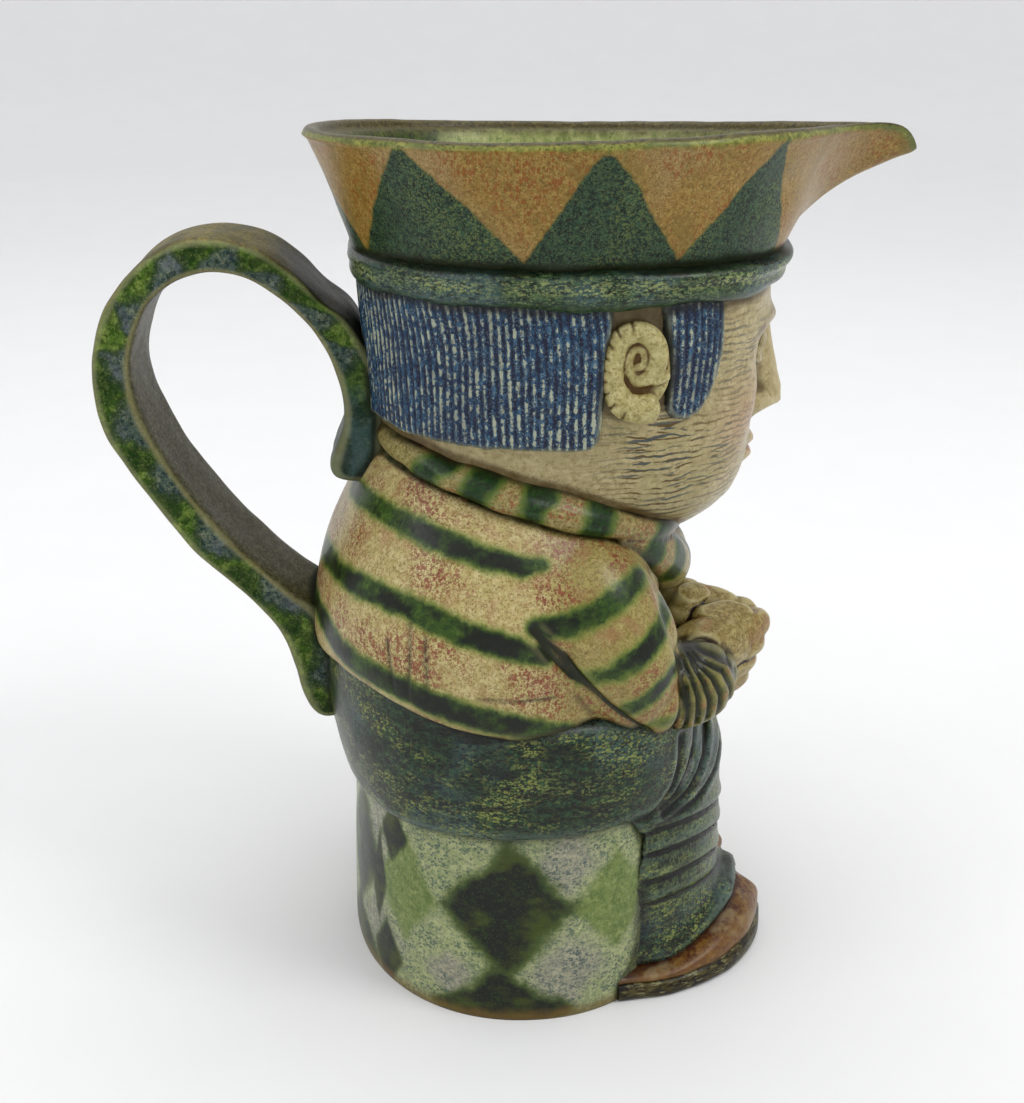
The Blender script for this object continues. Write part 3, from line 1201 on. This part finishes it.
class Glaze:
    """The node graph of one glaze. Sizes are in millimetres, and colours are tones."""

    def __init__(self, name):
        self.material = bpy.data.materials.new(name)
        self.material.use_nodes = True
        self.tree = self.material.node_tree
        self.shader = self.tree.nodes["Principled BSDF"]
        self.place = self.tree.nodes.new("ShaderNodeTexCoord").outputs["Object"]
        self.colour = None

    def node(self, kind, values, output=0, **settings):
        """A new node with its inputs linked or set, and one of its outputs."""
        item = self.tree.nodes.new("ShaderNode" + kind)
        for key, value in settings.items():
            setattr(item, key, value)
        for key, value in values.items():
            if isinstance(value, bpy.types.NodeSocket):
                self.tree.links.new(value, item.inputs[key])
            else:
                item.inputs[key].default_value = value
        return item.outputs[output]

    def painted(self, name):
        """The numbers painted on the piece under a name."""
        return self.node("Attribute", {}, "Fac", attribute_name=name)

    def along(self, axis):
        """The place along X, Y or Z, numbered from 0, in millimetres."""
        return self.calc("MULTIPLY", self.node("SeparateXYZ", {0: self.place}, axis), 1 / MM)

    def calc(self, operation, first, second=0.0, third=0.0):
        """A sum or another operation on numbers or sockets."""
        return self.node("Math", {0: first, 1: second, 2: third}, operation=operation)

    def times(self, first, *others):
        """The product of them all."""
        for other in others:
            first = self.calc("MULTIPLY", first, other)
        return first

    def ramp(self, value, low, high):
        """Nought below low and one above high, smooth between. Low may be the higher of the two."""
        start, end = sorted(((low, 0.0), (high, 1.0)))
        ends = {"From Min": start[0], "From Max": end[0], "To Min": start[1], "To Max": end[1]}
        return self.node("MapRange", {"Value": value, **ends}, interpolation_type="SMOOTHSTEP")

    def stretched(self, stretch, seed):
        """The place drawn out along some axes, and shifted by the seed so that no two patterns match."""
        shift = (seed, seed * 0.7, seed * 0.4)
        return self.node("Mapping", {"Vector": self.place, "Scale": stretch, "Location": shift})

    def noise(self, size, detail=2.0, stretch=(1, 1, 1), seed=0.0, rough=0.55):
        """Unevenness about size wide. A stretch below 1 draws it out along that axis."""
        values = {"Vector": self.stretched(stretch, seed), "Scale": 1 / (size * MM)}
        return self.node("TexNoise", {**values, "Detail": detail, "Roughness": rough})

    def clouds(self, low, high, *noise, **more):
        """The share by which a noise is above low, full from high on."""
        return self.ramp(self.noise(*noise, **more), low, high)

    def zone(self, least, *clouds, **more):
        """Clouds that never fall below the least share."""
        return self.calc("MULTIPLY_ADD", self.clouds(*clouds, **more), 1 - least, least)

    def uneven(self, value, amount, *noise, **more):
        """A value, or a painted one by its name, with that amount of a noise added."""
        value = self.painted(value) if isinstance(value, str) else value
        return self.calc("MULTIPLY_ADD", self.noise(*noise, **more), amount, value)

    def specks(self, size, share, soft, stretch=(1, 1, 1), seed=0.0):
        """Small ragged spots that cover about the given share of the surface."""
        middle = 0.5 + 0.36 * (0.5 - share)
        return self.clouds(middle - soft, middle + soft, size, 4.0, stretch, seed, 0.72)

    def flecks(self, size, share, seed=0.0, stretch=(1, 1, 1)):
        """Separate ragged dots of many sizes, in cells of the given size, that cover about that share."""
        place, bend = self.stretched(stretch, seed), 1.3
        shift = self.node("TexNoise", {"Vector": place, "Scale": bend / (size * MM), "Detail": 2.0}, 1)
        values = {0: shift, 1: (bend * size * MM,) * 3, 2: place}
        bent = self.node("VectorMath", values, operation="MULTIPLY_ADD")
        away = self.node("TexVoronoi", {"Vector": bent, "Scale": 1 / (size * MM)})
        chance = self.node("SeparateColor", {0: away.node.outputs["Color"]})
        return self.ramp(self.calc("SUBTRACT", self.times(chance, share**0.5), away), -0.08, 0.2)

    def over(self, under, colour, *shares):
        """One colour laid over another, by the product of the shares."""
        colours = [tone(*value) if isinstance(value, tuple) else value for value in (under, colour)]
        return self.node("Mix", {0: self.times(*shares), 6: colours[0], 7: colours[1]}, 2, data_type="RGBA")

    def coat(self, colour, *shares):
        """Lays a colour over the glaze so far."""
        self.colour = self.over(self.colour, colour, *shares)

    def mottled(self, colours, size, seed=0.0, stretch=(1, 1, 1)):
        """Some colours broken into each other: big clouds first, then smaller and smaller spots."""
        result = colours[0]
        for number, (colour, share) in enumerate(zip(colours[1::2], colours[2::2])):
            spots = self.specks(size / (1 + 0.7 * number), share, 0.07, stretch, seed + number * 3.1)
            result = self.over(result, colour, spots)
        return result

    def pooled(self, dark, near, groove, amount=0.9):
        """Glaze that has run dark into the seams and grooves."""
        uneven = self.calc("MULTIPLY_ADD", self.noise(5, 3), 0.9, 0.55)
        seam = self.times(self.ramp(self.painted("near"), *near), uneven)
        hollow = self.times(self.ramp(self.painted("bend"), *groove), uneven)
        self.coat(dark, self.calc("MAXIMUM", seam, hollow), amount)

    def worn(self, light, ridge, amount):
        """Glaze that has thinned to a lighter colour along the ridges."""
        self.coat(light, self.ramp(self.painted("bend"), *ridge), amount)

    def finish(self, rough, relief, gloss, grain=(1, 1, 1)):
        """Joins the colour to the shader, with a slightly uneven, lightly crazed and scratched gloss."""
        slow, fine = self.noise(14, 3), self.noise(1.1, 4, grain, 5.0)
        pinholes = self.specks(0.9, 0.06, 0.03, seed=8.0)
        scratch = self.clouds(0.66, 0.7, 0.5, 1.0, (1, 1, 0.05), 12.0)
        varied = self.calc("MULTIPLY_ADD", slow, 0.16, rough - 0.15)
        height = self.times(slow, 1.4)
        for pattern, dull in ((fine, 0.1), (pinholes, 0.15)):
            varied = self.calc("MULTIPLY_ADD", pattern, dull, varied)
        for pattern, lift in ((fine, 0.7), (pinholes, -0.5), (scratch, -0.35)):
            height = self.calc("MULTIPLY_ADD", pattern, lift, height)
        normal = self.node("Bump", {"Height": height, "Distance": relief * MM, "Strength": 0.9})
        self.join({"Base Color": self.colour, "Roughness": varied, "Normal": normal})
        self.shader.inputs["Specular IOR Level"].default_value = gloss
        return self.material

    def join(self, sockets):
        """Links sockets to the shader's inputs of those names."""
        for name, value in sockets.items():
            self.tree.links.new(value, self.shader.inputs[name])


def hat_sides(g):
    """Orange outside with rust flecks and dark, green flecked triangles."""
    orange = g.mottled([(126, 102, 56), (140, 116, 66), 0.45, (108, 86, 46), 0.34], 2.0)
    orange = g.over(orange, (140, 122, 92), g.clouds(0.5, 0.66, 50, 2, seed=3), 0.5)
    orange = g.over(orange, (84, 72, 42), g.flecks(0.6, 0.4, 24.0), 0.6)
    orange = g.over(orange, (160, 142, 92), g.flecks(0.6, 0.3, 25.0), 0.5)
    zone = g.zone(0.2, 0.42, 0.62, 20, 3, seed=23)
    outside = g.over(orange, (118, 66, 38), g.flecks(0.75, 0.6, 22.0, (1, 1, 0.4)), zone, 0.75)
    outside = g.over(outside, (104, 90, 50), g.clouds(0.53, 0.66, 7, 3, (1, 1, 0.35), 4.0), 0.4)
    dark = g.mottled([(36, 50, 44), (52, 70, 56), 0.42, (28, 36, 36), 0.36], 2.2, 6.0)
    cloud = g.zone(0.25, 0.4, 0.62, 22, 3, seed=7)
    dark = g.over(dark, (74, 98, 68), g.flecks(0.55, 0.5, 31.0), 0.6)
    dark = g.over(dark, (98, 108, 62), g.flecks(0.6, 0.65, 30.0), cloud, 0.7)
    edge = g.uneven("triangle", 1.6, 2.4, 4, seed=9)
    halo = g.over(outside, (84, 84, 44), g.ramp(edge, 0.0, 0.9), 0.5)
    return g.over(halo, dark, g.ramp(edge, 0.5, 1.3))


def hat_inside(g):
    """Olive clouds inside the hat, shaded at the back and deep down."""
    olive = [(136, 142, 88), (154, 156, 106), 0.42, (112, 124, 74), 0.4, (92, 104, 60), 0.16]
    inner = g.mottled([*olive, (164, 162, 116), 0.12], 3.4, 15.0, (1, 1, 0.5))
    inner = g.over(inner, (98, 108, 60), g.clouds(0.48, 0.66, 22, 3, seed=16), 0.5)
    shade = g.mottled([(64, 78, 42), (88, 100, 54), 0.35, (42, 52, 32), 0.4], 3.0, 19.0)
    at_back = g.uneven("back", 0.9, 16, 3, seed=18)
    inner = g.over(inner, shade, g.ramp(at_back, 0.6, 1.0))
    return g.over(inner, (66, 70, 42), g.ramp(g.painted("depth"), 14, 90), 0.7)


def hat_glaze():
    """The vessel's glaze: its sides, the two tones of its lip, and its inside."""
    g = Glaze("hat_glaze")
    lip = g.mottled([(108, 112, 60), (132, 132, 70), 0.42, (82, 88, 46), 0.3], 2.4, 11.0)
    lip = g.over(lip, (64, 62, 36), g.flecks(1.0, 0.35, 14.0), 0.6)
    lip = g.over(lip, (76, 84, 54), g.clouds(0.5, 0.62, 20, 3, seed=12), 0.6)
    top = g.mottled([(76, 70, 46), (92, 84, 54), 0.35, (52, 50, 34), 0.35], 2.2, 21.0)
    at_lip = g.uneven("from_lip", 3.0, 5, 3, seed=13)
    g.colour = hat_sides(g)
    g.coat(lip, g.ramp(at_lip, -7.5, -4.5))
    g.coat(top, g.ramp(at_lip, -3.6, -2.0))
    g.coat(hat_inside(g), g.ramp(at_lip, 8.5, 12.0))
    outer = g.calc("SUBTRACT", 1.0, g.painted("inner"))
    g.coat((44, 46, 34), g.ramp(g.painted("near"), 0.12, 0.4), outer, 0.85)
    return g.finish(0.36, 0.12, 0.26)


def band_glaze():
    g = Glaze("band_glaze")
    g.colour = g.mottled([(50, 66, 52), (68, 86, 62), 0.42, (38, 48, 42), 0.42], 2.4, 1.0, (0.5, 0.5, 1))
    g.coat((64, 82, 86), g.clouds(0.44, 0.62, 18, 2, seed=2), 0.65)
    level = g.uneven("level", 0.4, 6, 3, (0.4, 0.4, 1), 3.0)
    crest = g.times(g.ramp(level, 0.5, 0.7), g.ramp(level, 1.02, 0.84))
    crest = g.times(crest, g.zone(0.3, 0.36, 0.56, 16, 2, (0.6, 0.6, 1), 4.0))
    g.coat((134, 142, 92), crest, g.flecks(0.55, 0.85, 5.0, (0.5, 0.5, 1)), 0.85)
    g.coat((116, 126, 84), g.flecks(0.5, 0.4, 6.0, (0.6, 0.6, 1)), 0.6)
    g.coat((26, 36, 36), g.flecks(0.8, 0.4, 7.0, (0.4, 0.4, 1)), 0.7)
    g.coat((34, 41, 35), g.ramp(level, 0.98, 1.12), 0.85)
    g.coat((46, 60, 42), g.ramp(level, 0.5, 0.3), 0.6)
    g.pooled((26, 32, 29), (0.2, 0.5), (0.05, 0.2))
    return g.finish(0.31, 0.14, 0.32, grain=(0.4, 0.4, 1))


def face_glaze():
    g = Glaze("face_glaze")
    g.colour = g.mottled([(152, 140, 104), (164, 152, 116), 0.45, (136, 124, 88), 0.35], 3.0, 1.0)
    g.coat((136, 130, 90), g.clouds(0.5, 0.66, 24, 2, seed=2), 0.4)
    g.coat((110, 92, 62), g.flecks(0.9, 0.22, 3.0), 0.4)
    g.coat((158, 110, 88), g.painted("cheek"), 0.4)
    for seed, colour, share in ((4.0, (82, 66, 42), 0.9), (9.0, (66, 72, 72), 0.8)):
        drift = g.uneven(g.times(g.along(2), 3.1), 20.0, 11, 3, (0.7, 0.7, 1), seed)
        broken = g.clouds(0.42, 0.56, 4, 4, (0.45, 0.45, 1.6), seed + 1)
        stroke = g.times(g.ramp(g.calc("SINE", drift), 0.25, 0.8), broken)
        patch = g.times(g.painted("brushed"), g.clouds(0.28, 0.48, 13, 2, seed=seed + 2))
        g.coat(colour, g.calc("MINIMUM", g.times(stroke, patch, share), 0.95))
    g.coat((74, 60, 42), g.painted("brow"), g.clouds(0.3, 0.55, 1.2, 2, (1, 1, 0.5), 6.0))
    g.coat((156, 102, 86), g.painted("lips"), 0.7)
    g.coat((66, 62, 46), g.painted("iris"), 0.85)
    g.coat((70, 56, 42), g.painted("lash"), 0.8)
    g.pooled((76, 62, 42), (0.1, 0.36), (0.05, 0.26), 0.8)
    g.worn((176, 164, 132), (-0.05, -0.2), 0.5)
    return g.finish(0.33, 0.09, 0.28)


def hair_glaze():
    g = Glaze("hair_glaze")
    g.colour = g.mottled([(44, 68, 92), (62, 92, 114), 0.42, (32, 51, 72), 0.45], 1.8, 1.0, (1, 1, 0.6))
    comb = g.uneven("comb", 3.0, 1.3, 4, (1, 1, 0.8), 3.0, 0.7)
    g.coat((25, 38, 52), g.ramp(comb, 1.6, 0.9), 0.9)
    light = g.clouds(0.32, 0.68, 16, 2, seed=6)
    gaps = g.times(g.clouds(0.52, 0.6, 1.9, 3, (0.5, 0.5, 1), 8.0), 0.6)
    dashes = g.calc("SUBTRACT", g.calc("MULTIPLY_ADD", light, 0.45, comb), gaps)
    g.coat((156, 160, 136), g.ramp(dashes, 1.95, 2.4), 0.85)
    g.coat((26, 44, 62), g.clouds(0.46, 0.6, 24, 3, seed=11), 0.3)
    g.coat((108, 128, 132), g.flecks(0.6, 0.3, 9.0), 0.4)
    g.coat((25, 38, 50), g.flecks(0.8, 0.3, 10.0, (1, 1, 0.6)), 0.6)
    g.coat((128, 130, 104), g.ramp(g.painted("deep"), 2.2, 1.0), g.ramp(g.painted("deep"), -0.2, 0.4), 0.5)
    g.pooled((30, 32, 28), (0.24, 0.55), (0.3, 0.6), 0.8)
    return g.finish(0.32, 0.14, 0.32, grain=(1, 1, 0.3))


def ear_glaze():
    g = Glaze("ear_glaze")
    g.colour = g.mottled([(152, 144, 98), (170, 162, 118), 0.42, (130, 118, 78), 0.36], 2.6, 1.0)
    g.coat((104, 84, 50), g.flecks(0.9, 0.2, 3.0), 0.5)
    g.coat((70, 54, 36), g.painted("nick"), 0.85)
    g.pooled((80, 60, 36), (0.24, 0.6), (0.03, 0.18), 1.0)
    g.worn((178, 170, 128), (-0.08, -0.25), 0.5)
    return g.finish(0.33, 0.08, 0.28)


def collar_glaze():
    g = Glaze("collar_glaze")
    g.colour = g.mottled([(128, 118, 76), (146, 136, 94), 0.42, (104, 96, 58), 0.38], 2.0, 1.0)
    g.coat((82, 66, 42), g.flecks(0.9, 0.3, 3.0), 0.6)
    g.coat((122, 62, 54), g.flecks(0.8, 0.65, 8.0), g.clouds(0.44, 0.6, 12, 3, seed=9), 0.8)
    edge = g.uneven("patch", 2.6, 4, 3, seed=4)
    g.coat((74, 94, 46), g.ramp(edge, 5.2, 3.0), 0.9)
    dark = g.mottled([(34, 54, 38), (48, 70, 42), 0.35, (28, 36, 32), 0.3], 2.6, 6.0)
    g.coat(dark, g.ramp(edge, 3.6, 1.6), 0.95)
    g.pooled((48, 44, 28), (0.2, 0.5), (0.06, 0.24))
    return g.finish(0.33, 0.12, 0.29)


def jumper_glaze():
    g = Glaze("jumper_glaze")
    cream = g.mottled([(164, 152, 104), (176, 164, 120), 0.45, (146, 132, 86), 0.36], 2.4, 1.0, (1, 1, 0.8))
    olive = g.mottled([(124, 116, 64), (142, 132, 80), 0.42, (100, 94, 48), 0.36], 2.4, 3.0)
    g.colour = g.over(cream, olive, g.painted("sleeve"), 0.7)
    g.coat((100, 86, 50), g.flecks(0.6, 0.45, 8.0), 0.6)
    zone = g.zone(0.15, 0.4, 0.6, 19, 3, seed=6)
    g.coat((132, 88, 74), g.clouds(0.53, 0.66, 11, 4, seed=7), 0.4)
    g.coat((120, 62, 54), g.flecks(0.9, 0.7, 9.0, (1, 0.8, 0.7)), zone, 0.8)
    g.coat((100, 58, 48), g.flecks(0.55, 0.7, 10.0), zone, 0.7)
    edge = g.uneven("stripe", 2.6, 5, 2, seed=11)
    edge = g.uneven(edge, 0.9, 1.0, 2, seed=14)
    halo = g.mottled([(90, 110, 50), (106, 122, 60), 0.4], 2.4, 15.0)
    g.coat(halo, g.ramp(edge, 4.9, 2.3), 0.7)
    green = g.mottled([(52, 72, 38), (68, 88, 44), 0.4, (40, 56, 34), 0.4], 2.6, 12.0)
    g.coat(green, g.ramp(edge, 3.5, 1.5), 0.95)
    g.coat((28, 35, 30), g.ramp(edge, 2.4, 0.7), g.clouds(0.34, 0.56, 12, 3, seed=13), 0.92)
    cuff = g.painted("cuff")
    g.coat((62, 74, 38), cuff, 0.85)
    g.coat((34, 42, 28), cuff, g.flecks(0.9, 0.5, 20.0), 0.7)
    g.coat((128, 120, 66), g.painted("between"), g.clouds(0.4, 0.56, 5, 3, seed=17), 0.6)
    g.coat((138, 84, 54), g.painted("between"), g.clouds(0.54, 0.64, 4, 3, seed=19), 0.7)
    g.coat((34, 36, 28), g.painted("fold"))
    g.pooled((44, 46, 30), (0.2, 0.5), (0.07, 0.28))
    g.worn((168, 158, 112), (-0.12, -0.34), 0.14)
    return g.finish(0.33, 0.12, 0.3)


def hand_glaze():
    g = Glaze("hand_glaze")
    brown = [(130, 114, 70), (150, 136, 90), 0.42, (108, 94, 54), 0.38, (96, 96, 56), 0.2]
    g.colour = g.mottled(brown, 3.0, 1.0)
    g.coat((84, 66, 38), g.flecks(1.0, 0.35, 3.0), 0.6)
    g.coat((128, 86, 60), g.clouds(0.5, 0.62, 14, 2, seed=4), 0.4)
    g.pooled((46, 38, 24), (0.12, 0.42), (0.03, 0.16), 1.0)
    g.worn((164, 154, 112), (-0.04, -0.16), 0.7)
    return g.finish(0.34, 0.16, 0.28)


def trouser_glaze():
    g = Glaze("trouser_glaze")
    g.colour = g.mottled([(34, 50, 42), (48, 68, 52), 0.42, (24, 34, 33), 0.42], 2.6, 1.0, (0.7, 0.7, 1))
    g.coat((62, 80, 84), g.clouds(0.5, 0.66, 30, 2, seed=2), 0.5)
    g.worn((92, 108, 98), (-0.05, -0.2), 0.35)
    zone = g.zone(0.1, 0.4, 0.6, 13, 4, (0.6, 0.6, 1.3), 3.0)
    g.coat((128, 132, 72), g.flecks(0.6, 0.7, 4.0, (0.6, 0.6, 1)), zone, 0.8)
    g.coat((78, 100, 58), g.flecks(0.55, 0.5, 6.0, (0.7, 0.7, 1)), zone, 0.6)
    g.coat((16, 26, 26), g.flecks(0.9, 0.5, 8.0, (0.5, 0.5, 1)), 0.75)
    g.coat((18, 27, 25), g.clouds(0.52, 0.66, 3, 3, (0.16, 0.16, 1), 12.0), 0.7)
    hatch = g.clouds(0.46, 0.62, 0.8, 4, (1, 1, 0.45), 10.0)
    g.coat((96, 108, 72), g.painted("leg"), hatch, 0.45)
    g.coat((22, 28, 26), g.painted("crease"), 0.85)
    g.pooled((22, 28, 26), (0.2, 0.5), (0.06, 0.24))
    return g.finish(0.31, 0.16, 0.32)


def shoe_glaze():
    g = Glaze("shoe_glaze")
    g.colour = g.mottled([(94, 68, 40), (110, 84, 52), 0.4, (78, 52, 32), 0.4], 3.4, 1.0, (0.5, 0.5, 1))
    g.coat((68, 42, 26), g.flecks(1.0, 0.6, 3.0, (0.5, 0.5, 1)), 0.8)
    g.coat((132, 120, 92), g.clouds(0.56, 0.66, 12, 3, seed=4), 0.5)
    g.pooled((52, 40, 26), (0.14, 0.42), (0.05, 0.2), 0.85)
    g.worn((128, 100, 66), (-0.12, -0.34), 0.3)
    return g.finish(0.32, 0.14, 0.28)


def sole_glaze():
    g = Glaze("sole_glaze")
    g.colour = g.mottled([(62, 56, 38), (80, 74, 50), 0.4, (40, 36, 26), 0.4], 2.6, 1.0, (0.4, 0.4, 1))
    g.coat((130, 126, 90), g.clouds(0.56, 0.63, 0.7, 3, (0.2, 0.2, 1), 4.0), 0.75)
    g.coat((32, 28, 20), g.clouds(0.54, 0.6, 0.9, 2, (0.12, 0.12, 1), 9.0), 0.8)
    g.pooled((34, 30, 22), (0.16, 0.46), (0.05, 0.2), 0.8)
    return g.finish(0.34, 0.14, 0.26)


def drum_glaze():
    g = Glaze("drum_glaze")
    g.colour = g.mottled([(130, 138, 98), (148, 152, 112), 0.42, (104, 118, 84), 0.36], 3.0, 1.0)
    lilac = g.mottled([(128, 126, 112), (146, 142, 124), 0.42, (104, 106, 100), 0.36], 3.0, 2.0, (1, 1, 1.3))
    right = g.uneven("pale", 1.4, 12, 3, seed=3)
    g.coat(lilac, g.ramp(right, 0.3, 1.1), 0.9)
    zone = g.zone(0.5, 0.4, 0.62, 10, 3, seed=13)
    g.coat((60, 76, 76), g.flecks(0.75, 0.8, 4.0, (0.7, 0.7, 1)), zone, 0.8)
    g.coat((160, 160, 124), g.flecks(0.6, 0.4, 14.0), 0.5)
    green = g.mottled([(98, 112, 62), (80, 96, 50), 0.42, (120, 130, 80), 0.3], 3.6, 5.0)
    green = g.over(green, (70, 90, 54), g.flecks(1.0, 0.4, 15.0), 0.5)
    at_green = g.uneven("green", 0.5, 6, 3, seed=6)
    g.coat(green, g.ramp(at_green, 0.15, 0.45), 0.9)
    at_dark = g.uneven("dark", 0.3, 4, 4, seed=8)
    g.coat((60, 74, 38), g.ramp(at_dark, 0.1, 0.34), 0.9)
    dark = g.mottled([(36, 42, 34), (44, 54, 36), 0.3, (28, 30, 30), 0.4], 3.0, 9.0)
    dark = g.over(dark, (66, 76, 34), g.clouds(0.46, 0.66, 14, 4, (1, 1, 1.7), 10.0), 0.75)
    dark = g.over(dark, (70, 80, 48), g.flecks(0.6, 0.3, 16.0), 0.35)
    g.coat(dark, g.ramp(at_dark, 0.26, 0.46))
    height = g.uneven(g.along(2), 5.0, 6, 3, seed=11)
    g.coat((104, 84, 48), g.ramp(height, 7.5, 3.2), 0.7)
    g.pooled((40, 44, 34), (0.14, 0.5), (0.06, 0.3), 0.75)
    return g.finish(0.33, 0.1, 0.3)


def strap_glaze():
    g = Glaze("strap_glaze")
    leaf = g.uneven("leaf", 1.8, 5, 5, seed=1, rough=0.68)
    leaf = g.calc("SUBTRACT", leaf, 0.35)
    blue = g.mottled([(72, 84, 78), (102, 110, 94), 0.34, (46, 58, 60), 0.42], 3.0, 2.0)
    blue = g.over(blue, (96, 100, 108), g.clouds(0.5, 0.64, 13, 2, seed=15), 0.5)
    green = g.mottled([(78, 100, 50), (106, 122, 64), 0.4, (54, 74, 38), 0.42], 4.5, 4.0)
    green = g.over(green, (38, 52, 32), g.clouds(0.48, 0.62, 9, 3, seed=16), 0.75)
    g.colour = g.over(blue, green, g.ramp(leaf, 0.2, 0.95))
    g.coat((42, 56, 38), g.ramp(leaf, 0.2, 0.5), g.ramp(leaf, 0.9, 0.6), 0.55)
    outer = g.painted("outer")
    top = g.mottled([(92, 80, 26), (108, 96, 36), 0.42, (68, 60, 22), 0.4], 2.6, 6.0)
    top = g.over(top, (128, 116, 52), g.flecks(0.8, 0.4, 12.0), 0.4)
    top = g.over(top, (54, 54, 28), g.clouds(0.46, 0.6, 9, 3, (1, 0.35, 1), 7.0), 0.6)
    top = g.over(top, (40, 34, 14), g.ramp(g.along(0), -82, -62), 0.85)
    g.coat(top, g.ramp(outer, 0.62, 0.92), g.ramp(g.painted("flank"), 0.995, 0.93))
    inner = g.mottled([(84, 80, 58), (104, 100, 76), 0.36, (60, 55, 38), 0.4, (44, 40, 30), 0.2], 2.2, 9.0)
    g.coat(inner, g.ramp(outer, -0.62, -0.92), g.ramp(g.painted("flank"), 0.995, 0.93))
    g.coat((128, 112, 64), g.ramp(outer, -0.6, -0.85), g.ramp(g.painted("flank"), 0.93, 0.99), 0.6)
    streak = g.clouds(0.52, 0.6, 1.2, 2, (1, 0.25, 1), 11.0)
    g.coat((56, 58, 44), streak, 0.35)
    g.coat((40, 48, 38), g.flecks(0.7, 0.4, 13.0), 0.45)
    g.coat((136, 142, 94), g.flecks(0.7, 0.3, 14.0), 0.2)
    dark = g.over((38, 52, 44), (58, 78, 74), g.clouds(0.42, 0.58, 6, 3, seed=17))
    g.coat(dark, g.painted("curl"), 0.7)
    g.pooled((42, 44, 36), (0.14, 0.46), (0.08, 0.3), 0.85)
    g.worn((144, 144, 108), (-0.1, -0.34), 0.35)
    return g.finish(0.42, 0.14, 0.1)


def paper():
    """The pale paper under and behind the jug, with a faint tooth."""
    g = Glaze("paper")
    g.shader.inputs["Specular IOR Level"].default_value = 0.1
    greys = {6: (0.80, 0.80, 0.80, 1), 7: (0.83, 0.83, 0.83, 1)}
    g.join({"Base Color": g.node("Mix", {0: g.noise(60, 3), **greys}, 2, data_type="RGBA")})
    g.shader.inputs["Roughness"].default_value = 0.85
    return g.material


# The bowl of paper round the jug: (radius, height) in metres.
BOWL = (
    (0.02, 0), (0.6, 0), (1.6, 0), (2.2, 0.03), (2.7, 0.16), (3.1, 0.42), (3.4, 0.85), (3.6, 1.6), (3.7, 3.2),
)
# Each light: (name, place in metres, width in metres, watts). All of them point at one place.
LIGHTS = (
    ("key", (0.9, -0.5, 1.3), 0.5, 6),
    ("fill", (-1.1, -0.5, 1.1), 0.6, 3),
    ("top", (-0.1, 0.35, 1.7), 1.3, 7),
)
LIT_PLACE = (0, 0, 0.13)
# The photograph's camera: its place in metres, its degrees right of +Y and below the level, and its lens.
CAMERA_PLACE = (-0.02619, -0.46727, 0.29978)
CAMERA_TURN = 3
CAMERA_DIP = 20.05
CAMERA_LENS = 50.07


def put(name, data, place, ahead):
    """Puts a light or a camera at a place, looking ahead."""
    item = bpy.data.objects.new(name, data)
    item.location = place
    item.rotation_euler = ahead.to_track_quat("-Z", "Y").to_euler()
    bpy.context.scene.collection.objects.link(item)
    return item


def studio():
    """A pale bowl of paper, so that no edge shows from any side, with soft lights and the camera."""
    columns = 96
    turn = np.linspace(0, 2 * math.pi, columns, endpoint=False)
    rings = []
    for radius, height in BOWL:
        ring_x, ring_y = radius * np.cos(turn), radius * np.sin(turn)
        rings.append(np.stack([ring_x, ring_y, np.full(columns, height)], axis=1) / MM)
    places = np.concatenate([*rings, [[0, 0, 0]]])
    faces = grid_faces(len(rings), columns, False).tolist()
    faces += [((i + 1) % columns, i, len(places) - 1) for i in range(columns)]
    floor = piece("floor", (places, faces), paper())
    world = bpy.data.worlds.new("studio")
    bpy.context.scene.world = world
    world.use_nodes = True
    world.node_tree.nodes["Background"].inputs["Color"].default_value = (0.98, 0.985, 1, 1)
    world.node_tree.nodes["Background"].inputs["Strength"].default_value = 1.0
    for name, place, size, power in LIGHTS:
        data = bpy.data.lights.new(name, "AREA")
        data.size, data.energy = size, power
        put(name, data, place, Vector(LIT_PLACE) - Vector(place))
    data = bpy.data.cameras.new("camera")
    data.sensor_fit = "VERTICAL"
    data.sensor_height = 36
    data.lens = CAMERA_LENS
    data.clip_end = 20
    turn, dip = math.radians(CAMERA_TURN), math.radians(CAMERA_DIP)
    ahead = Vector((math.sin(turn) * math.cos(dip), math.cos(turn) * math.cos(dip), -math.sin(dip)))
    bpy.context.scene.camera = put("camera", data, CAMERA_PLACE, ahead)
    bpy.context.scene.view_settings.view_transform = "Standard"


def above_floor(item):
    """Lifts the few points that the waves pressed below the floor."""
    points = mesh_points(item)
    points[:, 2] = np.maximum(points[:, 2], FLOOR_GAP)
    set_points(item, points)


def thinned(item):
    """Fewer faces where the skin is plain. The painted values go along."""
    modifier = item.modifiers.new("thinned", "DECIMATE")
    modifier.ratio = KEPT_FACES
    bpy.context.view_layer.objects.active = item
    bpy.ops.object.modifier_apply(modifier=modifier.name)


def main():
    """The paper and the lights, then the fourteen pieces that ride on the jug's one body."""
    studio()
    ear_coat, shoe_coat, trouser_coat = ear_glaze(), shoe_glaze(), trouser_glaze()
    pieces = [
        vessel(hat_glaze()), band(band_glaze()), head(face_glaze()), hair(hair_glaze()), ear(-1, ear_coat),
        ear(1, ear_coat), collar(collar_glaze()), jumper(jumper_glaze()), hands(hand_glaze()),
        trousers(trouser_coat), shoe_parts("shoes", SHOES, 0.8, shoe_coat, 111),
        shoe_parts("soles", SOLES, 0.5, sole_glaze(), 112), drum(drum_glaze()), handle(strap_glaze()),
    ]
    for item in pieces:
        above_floor(item)
    paint_near(pieces)
    for item in pieces:
        paint_bend(item)
        thinned(item)
        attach(item, "root")
    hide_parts("jug")


main()
